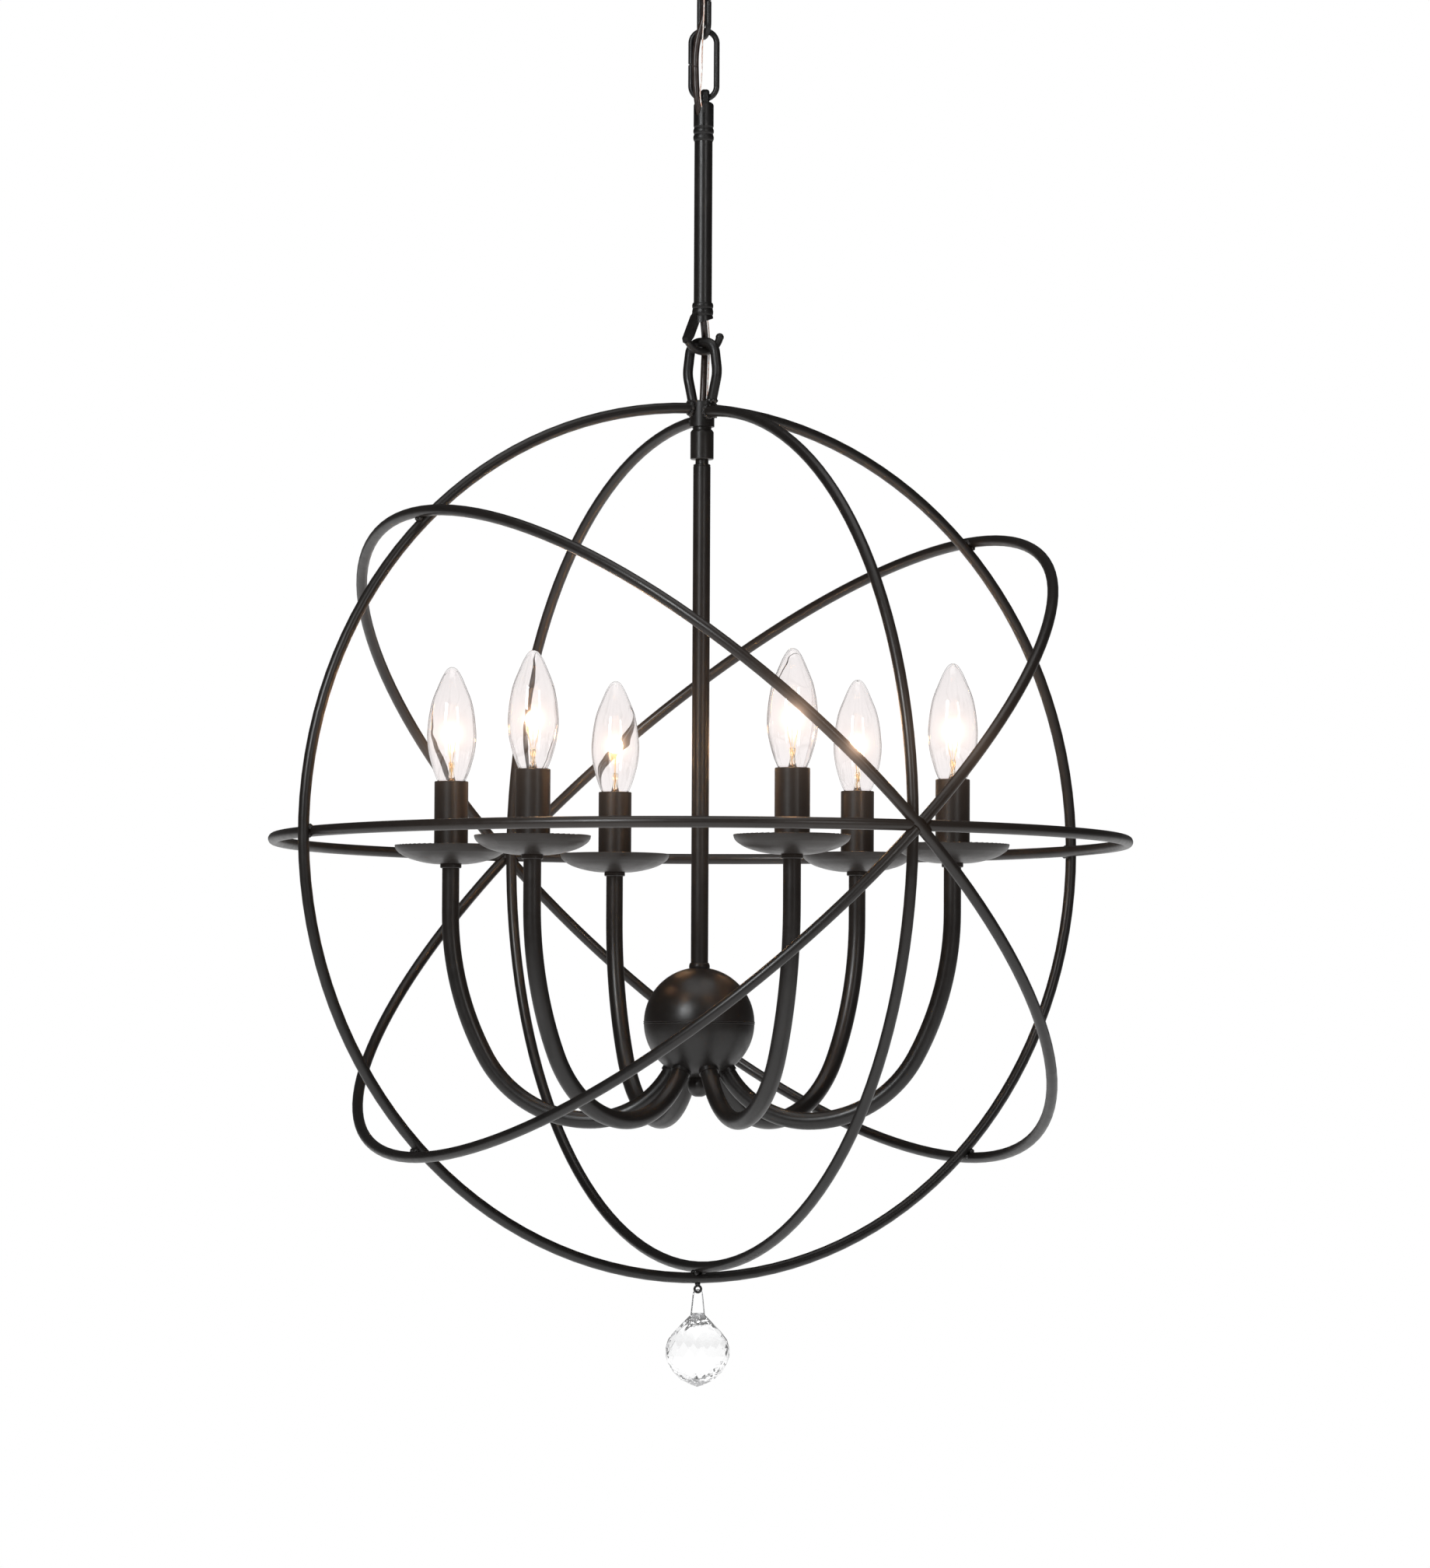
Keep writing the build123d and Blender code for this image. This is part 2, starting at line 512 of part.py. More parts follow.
# ---------------------------------------------------------------------------
# Rings of the orb
# ---------------------------------------------------------------------------
RISE_FROM, RISE = 20.0, 8.2
for label, az, radius in (("meridian_ring_outer", OUTER_AZ, OUTER_R), ("meridian_ring_inner", INNER_AZ, INNER_R)):
    a = radians(az)
    with BuildPart() as ring:
        if label == "meridian_ring_outer":
            with BuildSketch(level(0, az)):
                with Locations((radius, 0)):
                    Circle(ROD / 2)
            revolve(axis=Axis((0, 0, ORB_Z), (-sin(a), cos(a), 0)))
        else:
            # round from RISE_FROM on the front side down, about and up the back; the rest of
            # the front is an arc of a larger radius that ends higher at the hub
            e = radians(RISE_FROM)
            out = Vector(cos(e) * cos(a), cos(e) * sin(a), sin(e))
            section = Plane(origin=Vector(0, 0, ORB_Z) + out * radius, z_dir=(-sin(e) * cos(a), -sin(e) * sin(a), cos(e)))
            with BuildSketch(section):
                Circle(ROD / 2)
            revolve(axis=Axis((0, 0, ORB_Z), (-sin(a), cos(a), 0)), revolution_arc=270 + RISE_FROM)
            with BuildSketch(section):
                Circle(ROD / 2)
            revolve(axis=Axis(Vector(0, 0, ORB_Z) - out * RISE, (sin(a), -cos(a), 0)), revolution_arc=88.6 - RISE_FROM)
        # coped against the hub
        with BuildSketch(level(HUB_LOW - 2)):
            Circle(HUB_R)
        extrude(amount=HUB_HIGH - HUB_LOW + 4, mode=Mode.SUBTRACT)
    ring.part.label = label
    export_step(ring.part, f"parts/{label}.step")
    if label == "meridian_ring_outer":
        outer_ring = ring


def oval_plane(tilt):
    """Plane of a tilted ring: local x along its long half axis, y along the node line."""
    phi, t = radians(INNER_AZ), radians(tilt)
    node = Vector(cos(phi), sin(phi), 0)
    up = Vector(-sin(phi) * cos(t), cos(phi) * cos(t), sin(t))
    return Plane(origin=(0, 0, ORB_Z), x_dir=up, z_dir=up.cross(node))


def oval_sizes(long_half, short_half):
    """Centre offset and the two radii of a four-arc oval."""
    c = (long_half - short_half) / (2 - sqrt(2))
    return c, long_half - c, long_half - c + c * sqrt(2)


with BuildPart() as tilted_ring_a:
    c, r_end, r_side = oval_sizes(TILT_LONG, TILT_SHORT)
    with BuildLine(oval_plane(-TILT)) as path_a:
        CenterArc((c, 0), r_end, -45, 90)
        CenterArc((0, -c), r_side, 45, 90)
        CenterArc((-c, 0), r_end, 135, 90)
        CenterArc((0, c), r_side, 225, 90)
    with BuildSketch(Plane(origin=path_a.line @ 0, z_dir=path_a.line % 0)):
        Circle(ROD / 2)
    sweep(path=path_a.line)
tilted_ring_a.part.label = "tilted_ring_a"
export_step(tilted_ring_a.part, "parts/tilted_ring_a.step")

# two halves, butted against the other tilted ring at both nodes
with BuildPart() as tilted_ring_b:
    c, r_end, r_side = oval_sizes(TILT_LONG, TILT_SHORT)
    short_of = asin((ROD / 2 + 0.06) / r_side) * 180 / pi
    with BuildLine(oval_plane(TILT)) as path_b1:
        CenterArc((0, c), r_side, 270 + short_of, 45 - short_of)
        CenterArc((c, 0), r_end, -45, 90)
        CenterArc((0, -c), r_side, 45, 45 - short_of)
    with BuildSketch(Plane(origin=path_b1.line @ 0, z_dir=path_b1.line % 0)):
        Circle(ROD / 2)
    sweep(path=path_b1.line)
    with BuildLine(oval_plane(TILT)) as path_b2:
        CenterArc((0, -c), r_side, 90 + short_of, 45 - short_of)
        CenterArc((-c, 0), r_end, 135, 90)
        CenterArc((0, c), r_side, 225, 45 - short_of)
    with BuildSketch(Plane(origin=path_b2.line @ 0, z_dir=path_b2.line % 0)):
        Circle(ROD / 2)
    sweep(path=path_b2.line)
tilted_ring_b.part.label = "tilted_ring_b"
export_step(tilted_ring_b.part, "parts/tilted_ring_b.step")

# two halves, each ground to a wedge where all three rings meet
with BuildPart() as equator_ring:
    c, r_end, r_side = oval_sizes(LEVEL_LONG, LEVEL_SHORT)
    for turn in (0, 180):
        with BuildLine(level(0, INNER_AZ + turn)) as path_e:
            CenterArc((c, 0), r_end, 1, 44)
            CenterArc((0, -c), r_side, 45, 90)
            CenterArc((-c, 0), r_end, 135, 44)
        with BuildSketch(Plane(origin=path_e.line @ 0, z_dir=path_e.line % 0)):
            Circle(ROD / 2)
        sweep(path=path_e.line)
    a = radians(INNER_AZ)
    for side in (-1, 1):
        node = (side * LEVEL_LONG * cos(a), side * LEVEL_LONG * sin(a), ORB_Z)
        with BuildSketch(Plane(origin=node, x_dir=(-sin(a), cos(a), 0), z_dir=(cos(a), sin(a), 0))):
            Polygon((-5.8, 0), (-13.8, 8), (13.8, 8), (5.8, 0), (13.8, -8), (-13.8, -8))
        extrude(amount=10, both=True, mode=Mode.SUBTRACT)
equator_ring.part.label = "equator_ring"
export_step(equator_ring.part, "parts/equator_ring.step")

# ---------------------------------------------------------------------------
# Crystal under the orb
# ---------------------------------------------------------------------------
EYELET_Z, EYELET_R, EYELET_ROD = -326.1, 2.375, 1.75
with BuildPart() as crystal_eyelet:
    with BuildSketch(level(EYELET_Z)):
        with Locations((EYELET_R, 0)):
            Circle(EYELET_ROD / 2)
    revolve(axis=Axis(at(0, 0, EYELET_Z), (0, 1, 0)))
    with BuildSketch(level(EYELET_Z + EYELET_R)):
        Circle(1.2)
    extrude(amount=3.5)
    add(outer_ring.part, mode=Mode.SUBTRACT)
crystal_eyelet.part.label = "crystal_eyelet"
export_step(crystal_eyelet.part, "parts/crystal_eyelet.step")

BAIL_AZ, BAIL_WIRE, BAIL_TOP, BAIL_LOW = 50.0, 0.9, -326.85, -346.3
with BuildPart() as crystal_wire:
    with BuildLine(upright(BAIL_AZ)) as bail:
        FilletPolyline((0, BAIL_LOW), (7.6, BAIL_LOW), (4.6, BAIL_TOP), (-4.6, BAIL_TOP), (-7.6, BAIL_LOW), (-0.05, BAIL_LOW),
                       radius=[1.6, 3.6, 3.6, 1.6])
    with BuildSketch(Plane(origin=bail.line @ 0, z_dir=bail.line % 0)):
        Circle(BAIL_WIRE / 2)
    sweep()
crystal_wire.part.label = "crystal_wire"
export_step(crystal_wire.part, "parts/crystal_wire.step")

DROP_HOLE_Z = -346.65
with BuildPart() as crystal_ball:
    with BuildSketch(AXIS_PLANE):
        Polygon((0, -343.4), (4.0, -343.4), (11.6, -351.1), (21.7, -362.8), (23.5, -372.3), (18.7, -384.9), (12.2, -392.9), (0, -397.2))
    revolve(axis=COLUMN)
    with BuildSketch(Plane(origin=at(0, 0, DROP_HOLE_Z), z_dir=(cos(radians(BAIL_AZ)), sin(radians(BAIL_AZ)), 0))):
        Circle(1.1)
    extrude(amount=12, both=True, mode=Mode.SUBTRACT)
crystal_ball.part.label = "crystal_ball"
export_step(crystal_ball.part, "parts/crystal_ball.step")

# ---------------------------------------------------------------------------
# Arms: tube, out of the ball, down, round and up to the light
# ---------------------------------------------------------------------------
t0, rise = radians(ARM_OUT), radians(ARM_RISE)
arm_p0 = (ARM_START * sin(t0), BALL_Z - ARM_START * cos(t0))
arm_p1 = (ARM_BEND * sin(t0), BALL_Z - ARM_BEND * cos(t0))
arc1_c = (arm_p1[0] + ARM_ARC_1 * cos(t0), arm_p1[1] + ARM_ARC_1 * sin(t0))
arm_p2 = (arc1_c[0], arc1_c[1] - ARM_ARC_1)
ARM_ARC_2 = (LIGHT_R - arm_p2[0] - ARM_ARC_3 * (1 - sin(rise))) / sin(rise)
arm_p3 = (arm_p2[0] + ARM_ARC_2 * sin(rise), arm_p2[1] + ARM_ARC_2 * (1 - cos(rise)))
arm_p4 = (LIGHT_R, arm_p3[1] + ARM_ARC_3 * cos(rise))


def mid_1():
    m = radians((90 - ARM_OUT) / 2)
    return (arc1_c[0] - ARM_ARC_1 * sin(m), arc1_c[1] - ARM_ARC_1 * cos(m))


def mid_2():
    return (arm_p2[0] + ARM_ARC_2 * sin(rise / 2), arm_p2[1] + ARM_ARC_2 * (1 - cos(rise / 2)))


def mid_3():
    m = (rise + radians(90)) / 2
    return (LIGHT_R - ARM_ARC_3 + ARM_ARC_3 * sin(m), arm_p4[1] - ARM_ARC_3 * cos(m))


print("arm: lowest point", arm_p2, "second arc", round(ARM_ARC_2, 2), "vertical from", arm_p4)

for i, az in enumerate(LIGHT_AZ):
    a = radians(az)
    with BuildPart() as arm:
        with BuildLine(upright(az)) as arm_path:
            Line(arm_p0, arm_p1)
            ThreePointArc(arm_p1, mid_1(), arm_p2)
            ThreePointArc(arm_p2, mid_2(), arm_p3)
            ThreePointArc(arm_p3, mid_3(), arm_p4)
            Line(arm_p4, (LIGHT_R, ARM_SHOULDER))
        with BuildSketch(arm_out(az, ARM_START)):
            Circle(ARM_R)
            Circle(ARM_BORE_R, mode=Mode.SUBTRACT)
        sweep()
        # threaded end with a shoulder
        with BuildSketch(level(ARM_SHOULDER - 5, az, LIGHT_R * cos(a), LIGHT_R * sin(a))):
            Circle(ARM_R)
            Circle(NIPPLE_BORE_R, mode=Mode.SUBTRACT)
        extrude(amount=5)
        with BuildSketch(level(ARM_SHOULDER - 1, az, LIGHT_R * cos(a), LIGHT_R * sin(a))):
            Circle(NIPPLE_R)
            Circle(NIPPLE_BORE_R, mode=Mode.SUBTRACT)
        extrude(amount=ARM_TIP - ARM_SHOULDER + 1)
    arm.part.label = f"arm_{i + 1}"
    export_step(arm.part, f"parts/arm_{i + 1}.step")

with BuildPart() as lamp_leads:
    for az in LIGHT_AZ:
        with BuildLine(upright(az)):
            Line(arm_p0, arm_p1)
            ThreePointArc(arm_p1, mid_1(), arm_p2)
            ThreePointArc(arm_p2, mid_2(), arm_p3)
            ThreePointArc(arm_p3, mid_3(), arm_p4)
            Line(arm_p4, (LIGHT_R, 8.0))
        with BuildSketch(arm_out(az, ARM_START)):
            Circle(1.6)
        sweep()
lamp_leads.part.label = "lamp_leads"
export_step(lamp_leads.part, "parts/lamp_leads.step")

with BuildPart() as arm_ball_collars:
    for az in LIGHT_AZ:
        with BuildSketch(arm_out(az, 38.5)):
            Circle(7.3)
            Circle(ARM_R + 0.05, mode=Mode.SUBTRACT)
        extrude(amount=4.0)
    with Locations(at(0, 0, BALL_Z)):
        Sphere(BALL_R + 0.02, mode=Mode.SUBTRACT)
arm_ball_collars.part.label = "arm_ball_collars"
export_step(arm_ball_collars.part, "parts/arm_ball_collars.step")

with BuildPart() as arm_ball_nuts:
    for az in LIGHT_AZ:
        with BuildSketch(arm_out(az, 35.3)):
            Circle(8.0)
            Circle(ARM_R + 0.05, mode=Mode.SUBTRACT)
        extrude(amount=3.0)
arm_ball_nuts.part.label = "arm_ball_nuts"
export_step(arm_ball_nuts.part, "parts/arm_ball_nuts.step")

# ---------------------------------------------------------------------------
# Lights
# ---------------------------------------------------------------------------
with BuildPart() as bobeche_ring_nuts:
    for az in LIGHT_AZ:
        with BuildSketch(light_plane(az)):
            Polygon((THREAD_HOLE_R, ARM_SHOULDER + 0.02), (7.4, ARM_SHOULDER + 0.02), (7.85, ARM_SHOULDER + 0.5),
                    (7.85, PAN_BOTTOM - 0.5), (7.5, PAN_BOTTOM - 0.02), (THREAD_HOLE_R, PAN_BOTTOM - 0.02))
        revolve(axis=light_axis(az))
bobeche_ring_nuts.part.label = "bobeche_ring_nuts"
export_step(bobeche_ring_nuts.part, "parts/bobeche_ring_nuts.step")

# drip pans: sheet, flat in the middle, the side an arc of an ellipse
PAN_B = 14.2


def pan_point(deg, shrink=0.0):
    return ((PAN_R - shrink) * cos(radians(deg)), PAN_RIM - (PAN_B - shrink) * sin(radians(deg)))


flat_o = (PAN_R * sqrt(1 - ((PAN_RIM - PAN_BOTTOM) / PAN_B) ** 2), PAN_BOTTOM)
flat_i = ((PAN_R - PAN_WALL) * sqrt(1 - ((PAN_RIM - PAN_BOTTOM - PAN_WALL) / (PAN_B - PAN_WALL)) ** 2), PAN_BOTTOM + PAN_WALL)
with BuildPart() as bobeches:
    for az in LIGHT_AZ:
        with BuildSketch(light_plane(az)):
            with BuildLine():
                Line((THREAD_HOLE_R + 0.05, PAN_BOTTOM), flat_o)
                ThreePointArc(flat_o, pan_point(57), pan_point(45))
                ThreePointArc(pan_point(45), pan_point(33), pan_point(22))
                ThreePointArc(pan_point(22), pan_point(12), pan_point(0))
                ThreePointArc(pan_point(0), (PAN_R - PAN_WALL / 2, PAN_RIM + 0.3), pan_point(0, PAN_WALL))
                ThreePointArc(pan_point(0, PAN_WALL), pan_point(12, PAN_WALL), pan_point(22, PAN_WALL))
                ThreePointArc(pan_point(22, PAN_WALL), pan_point(33, PAN_WALL), pan_point(45, PAN_WALL))
                ThreePointArc(pan_point(45, PAN_WALL), pan_point(57, PAN_WALL), flat_i)
                Line(flat_i, (THREAD_HOLE_R + 0.05, PAN_BOTTOM + PAN_WALL))
                Line((THREAD_HOLE_R + 0.05, PAN_BOTTOM + PAN_WALL), (THREAD_HOLE_R + 0.05, PAN_BOTTOM))
            make_face()
        revolve(axis=light_axis(az))
bobeches.part.label = "bobeches"
export_step(bobeches.part, "parts/bobeches.step")

PAN_FLOOR = PAN_BOTTOM + PAN_WALL
with BuildPart() as candle_sleeves:
    for az in LIGHT_AZ:
        with BuildSketch(light_plane(az)):
            Polygon((SLEEVE_BORE_R, PAN_FLOOR + 0.03), (SLEEVE_R, PAN_FLOOR + 0.03), (SLEEVE_R, SLEEVE_TOP - 0.4),
                    (SLEEVE_R - 0.4, SLEEVE_TOP), (SLEEVE_BORE_R, SLEEVE_TOP))
        revolve(axis=light_axis(az))
candle_sleeves.part.label = "candle_sleeves"
export_step(candle_sleeves.part, "parts/candle_sleeves.step")

# lamp holders: narrow stem screwed on the arm, cup for the lamp's screw base
with BuildPart() as lamp_sockets:
    for az in LIGHT_AZ:
        with BuildSketch(light_plane(az)):
            Polygon((THREAD_HOLE_R, PAN_FLOOR + 0.03), (6.5, PAN_FLOOR + 0.03), (6.5, 10.0), (10.4, 13.0), (10.4, 40.0),
                    (6.2, 40.0), (6.2, 18.0), (2.0, 18.0), (2.0, -6.0), (THREAD_HOLE_R, -6.0))
        revolve(axis=light_axis(az))
lamp_sockets.part.label = "lamp_sockets"
export_step(lamp_sockets.part, "parts/lamp_sockets.step")

# candle lamps: thin glass with a screw base
GLASS = [(10.2, 44.8), (13.9, 54.4), (16.6, 64.2), (17.9, 73.0), (18.1, 78.2), (17.85, 83.6), (16.6, 94.6), (14.2, 105.2), (10.2, 115.3),
         (7.3, 121.9), (3.9, 127.4), (2.6, 128.5), (1.2, 129.2)]
GLASS_WALL = 0.8
BASE_R = 5.9


def glass_inside(p):
    """The inner skin's point beside a point of the outer one."""
    return (max(p[0] - GLASS_WALL, 0.4), p[1] - (1.1 if p[1] > 120 else 0.0))


for i, az in enumerate(LIGHT_AZ):
    with BuildPart() as bulb:
        with BuildSketch(light_plane(az)):
            with BuildLine():
                Polyline((6.1, 38.2), (6.1, 40.6), (9.6, 43.2), GLASS[0])
                for k in range(0, len(GLASS) - 1, 2):
                    ThreePointArc(GLASS[k], GLASS[k + 1], GLASS[k + 2])
                Polyline(GLASS[-1], (0, GLASS[-1][1]), (0, glass_inside(GLASS[-1])[1]), glass_inside(GLASS[-1]))
                for k in range(0, len(GLASS) - 1, 2):
                    ThreePointArc(glass_inside(GLASS[k]), glass_inside(GLASS[k + 1]), glass_inside(GLASS[k + 2]))
                Polyline(glass_inside(GLASS[0]), (8.8, 43.7), (5.3, 41.0), (5.3, 38.2), (6.1, 38.2))
            make_face()
        revolve(axis=light_axis(az))
        with BuildSketch(light_plane(az)):
            Polygon((0, 20.6), (2.2, 20.6), (2.4, 21.6), (4.6, 23.2), (BASE_R, 24.0), (BASE_R, 38.0), (0, 38.0))
        revolve(axis=light_axis(az))
    bulb.part.label = f"bulb_{i + 1}"
    export_step(bulb.part, f"parts/bulb_{i + 1}.step")

# ---------------------------------------------------------------------------
# Supply cord and ground wire, from the ceiling down to the ball. They are cut
# into four lengths, one across each joint of the chain, that meet end to end.
# ---------------------------------------------------------------------------
SUPPLY = [
    [(-0.7, 0.0, 703.5), (-0.8, -0.2, 671.5), (-5.9, -7.6, 657.5), (-3.9, -5.9, 641.0), (-1.35, -5.4, 625.0), (-1.3, -5.38, 616.0)],
    [(-1.3, -5.38, 616.0), (-1.25, -5.36, 607.0), (-4.5, -5.5, 592.0), (-6.4, -5.4, 578.0), (-6.2, -5.35, 570.0)],
    [(-6.2, -5.35, 570.0), (-6.0, -5.3, 562.0), (-5.4, -5.6, 549.0), (-3.0, -3.6, 535.0), (-0.7, -0.4, 521.0), (-0.2, 0.0, 396.0)],
    [(-0.2, 0.0, 396.0), (-0.168, 0.0256, 388.0), (0.9, 3.0, 380.5), (2.0, 9.4, 368.0), (1.5, 9.2, 357.0), (1.0, 3.6, 342.0), (0.5, 0.4, 325.0),
     (-0.6, 0.0, 309.0), (-0.6, 0.0, -104.0), (-0.5, 5.0, -114.0), (-0.2, 13.0, -125.0), (0.0, 17.5, -139.0)],
]
EARTH = [
    [(2.6, 0.0, 703.5), (2.5, -0.3, 671.5), (-2.2, -10.4, 656.5), (-0.3, -8.9, 641.0), (0.1, -8.2, 625.0), (0.0, -8.4, 616.0)],
    [(0.0, -8.4, 616.0), (-0.1, -8.6, 607.0), (-1.0, -8.7, 592.0), (-1.3, -7.6, 578.0), (-1.4, -7.5, 570.0)],
    [(-1.4, -7.5, 570.0), (-1.5, -7.4, 562.0), (-3.2, -9.0, 547.0), (0.5, -3.6, 533.0), (2.6, -0.2, 519.0), (3.0, 0.3, 396.0)],
    [(3.0, 0.3, 396.0), (3.026, 0.3325, 388.0), (4.2, 3.2, 380.5), (5.3, 9.6, 368.0), (4.8, 9.4, 357.0), (4.2, 4.2, 342.0), (3.6, 0.9, 325.0),
     (2.55, 0.0, 309.0), (2.55, 0.0, -104.0), (2.9, 5.1, -114.0), (3.6, 13.2, -125.0), (4.4, 17.6, -139.0)],
]
for label, supply, earth in (("cord_canopy", SUPPLY[0], EARTH[0]), ("cord_links", SUPPLY[1], EARTH[1]),
                             ("cord_stem", SUPPLY[2], EARTH[2]), ("cord_column", SUPPLY[3], EARTH[3])):
    with BuildPart() as cord:
        for name, route, diameter in (("supply", supply, CORD), ("ground", earth, GROUND)):
            points = [at(*p) for p in route]
            radii = bend_radii(points)
            with BuildLine() as run:
                FilletPolyline(*points, radius=radii)
            with BuildSketch(Plane(origin=points[0], z_dir=Vector(points[1]) - Vector(points[0]))):
                Circle(diameter / 2)
            before = cord.part.volume if cord.part is not None else 0.0
            sweep()
            length = sum(e.length for e in run.line.edges())
            print(label, name, "length", round(length, 1), "radii", [round(r, 1) for r in radii],
                  "volume / section x length", round((cord.part.volume - before) / (3.14159265 * diameter ** 2 / 4 * length), 4))
    cord.part.label = label
    export_step(cord.part, f"parts/{label}.step")
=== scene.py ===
import bpy, bmesh, json, math
import numpy as np
from mathutils import Vector, Matrix, noise

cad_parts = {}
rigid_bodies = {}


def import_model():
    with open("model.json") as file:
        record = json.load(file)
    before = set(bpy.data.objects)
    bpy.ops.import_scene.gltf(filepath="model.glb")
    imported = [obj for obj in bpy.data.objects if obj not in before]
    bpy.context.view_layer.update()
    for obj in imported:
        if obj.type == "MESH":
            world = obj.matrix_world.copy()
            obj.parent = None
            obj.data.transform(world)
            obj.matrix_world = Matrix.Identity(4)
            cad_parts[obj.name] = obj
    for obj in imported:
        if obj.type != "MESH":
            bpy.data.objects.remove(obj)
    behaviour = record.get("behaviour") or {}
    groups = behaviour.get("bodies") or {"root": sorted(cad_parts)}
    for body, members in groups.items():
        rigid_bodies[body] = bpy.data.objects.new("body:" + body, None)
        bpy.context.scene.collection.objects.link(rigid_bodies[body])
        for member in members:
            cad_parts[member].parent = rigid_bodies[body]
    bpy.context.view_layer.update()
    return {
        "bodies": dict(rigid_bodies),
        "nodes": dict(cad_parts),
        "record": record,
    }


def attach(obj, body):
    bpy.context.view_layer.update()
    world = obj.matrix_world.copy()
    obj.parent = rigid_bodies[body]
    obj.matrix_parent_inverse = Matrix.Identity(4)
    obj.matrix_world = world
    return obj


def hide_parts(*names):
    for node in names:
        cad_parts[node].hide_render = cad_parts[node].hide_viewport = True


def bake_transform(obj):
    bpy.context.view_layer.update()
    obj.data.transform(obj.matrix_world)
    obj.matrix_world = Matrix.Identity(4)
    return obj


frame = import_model()
nodes = frame["nodes"]
scene = bpy.context.scene
ORB = -0.705                      # height of the orb's centre, metres


def pt(x, y, h):
    """A point given in mm from the orb's centre, in metres under the ceiling."""
    return Vector((x / 1000, y / 1000, h / 1000 + ORB))


# ---------------------------------------------------------------------------
# Camera
# ---------------------------------------------------------------------------
cam_data = bpy.data.cameras.new("view")
cam = bpy.data.objects.new("view", cam_data)
scene.collection.objects.link(cam)
cam_data.sensor_fit = "AUTO"
cam_data.sensor_width = 36.0
cam_data.lens = 141.44
cam_data.clip_start, cam_data.clip_end = 0.05, 60.0
cam.location = (0.01073, -4.5, -0.89831)
cam.rotation_euler = (Matrix.Rotation(math.radians(90 + 2.997), 3, "X") @ Matrix.Rotation(math.radians(0.279), 3, "Z")).to_euler()
scene.camera = cam


# ---------------------------------------------------------------------------
# Mesh helpers
# ---------------------------------------------------------------------------
def mesh_object(name, verts, faces, smooth=True):
    mesh = bpy.data.meshes.new(name)
    mesh.from_pydata([tuple(v) for v in verts], [], faces)
    mesh.update()
    bm = bmesh.new()
    bm.from_mesh(mesh)
    bmesh.ops.recalc_face_normals(bm, faces=bm.faces)
    bm.to_mesh(mesh)
    bm.free()
    for p in mesh.polygons:
        p.use_smooth = smooth
    obj = bpy.data.objects.new(name, mesh)
    scene.collection.objects.link(obj)
    return obj


def tube_data(points, radius, sides=16, closed=False):
    """Vertices and faces of a round tube; radius is a number or one for each point."""
    pts = [Vector(p) for p in points]
    n = len(pts)
    rad = [radius] * n if not hasattr(radius, "__len__") else list(radius)
    tangents = []
    for i in range(n):
        if closed:
            t = pts[(i + 1) % n] - pts[i - 1]
        else:
            t = pts[min(i + 1, n - 1)] - pts[max(i - 1, 0)]
        tangents.append(t.normalized())
    ref = Vector((0, 0, 1)) if abs(tangents[0].z) < 0.9 else Vector((1, 0, 0))
    u = (ref - tangents[0] * ref.dot(tangents[0])).normalized()
    verts, faces = [], []
    for i in range(n):
        if i:
            u = (u - tangents[i] * u.dot(tangents[i])).normalized()
        v = tangents[i].cross(u)
        for k in range(sides):
            a = 2 * math.pi * k / sides
            verts.append(pts[i] + (u * math.cos(a) + v * math.sin(a)) * rad[i])
    last = n if closed else n - 1
    for i in range(last):
        for k in range(sides):
            a, b = i * sides + k, i * sides + (k + 1) % sides
            c, d = ((i + 1) % n) * sides + (k + 1) % sides, ((i + 1) % n) * sides + k
            faces.append((a, b, c, d))
    if not closed:
        faces.append(tuple(range(sides - 1, -1, -1)))
        faces.append(tuple((n - 1) * sides + k for k in range(sides)))
    return verts, faces


def turned_data(profile, centre, sides=64):
    """A turned solid or shell from a closed (r, height) profile, heights in mm from the orb's centre."""
    verts, faces, rings = [], [], []
    for r, h in profile:
        if r < 1e-6:
            rings.append([len(verts)])
            verts.append(pt(centre[0], centre[1], h))
        else:
            ring = []
            for k in range(sides):
                a = 2 * math.pi * k / sides
                ring.append(len(verts))
                verts.append(pt(centre[0] + r * math.cos(a), centre[1] + r * math.sin(a), h))
            rings.append(ring)
    n = len(rings)
    for i in range(n):
        a, b = rings[i], rings[(i + 1) % n]
        if len(a) == 1 and len(b) == 1:
            continue
        for k in range(sides):
            k2 = (k + 1) % sides
            if len(a) == 1:
                faces.append((a[0], b[k], b[k2]))
            elif len(b) == 1:
                faces.append((a[k], b[0], a[k2]))
            else:
                faces.append((a[k], b[k], b[k2], a[k2]))
    return verts, faces


def joined(name, parts, smooth=True):
    verts, faces = [], []
    for v, f in parts:
        base = len(verts)
        verts += list(v)
        faces += [tuple(i + base for i in g) for g in f]
    return mesh_object(name, verts, faces, smooth)


def curve_points(name, control, resolution=16):
    """Points read from the route's own smooth spline."""
    data = bpy.data.curves.new(name, "CURVE")
    data.dimensions = "3D"
    spline = data.splines.new("NURBS")
    spline.points.add(len(control) - 1)
    for p, c in zip(spline.points, control):
        p.co = (c[0], c[1], c[2], 1.0)
    spline.order_u = 3
    spline.use_endpoint_u = True
    data.resolution_u = resolution
    obj = bpy.data.objects.new(name, data)
    scene.collection.objects.link(obj)
    bpy.context.view_layer.update()
    mesh = bpy.data.meshes.new_from_object(obj)
    points = [v.co.copy() for v in mesh.vertices]
    bpy.data.meshes.remove(mesh)
    bpy.data.objects.remove(obj)
    bpy.data.curves.remove(data)
    return points


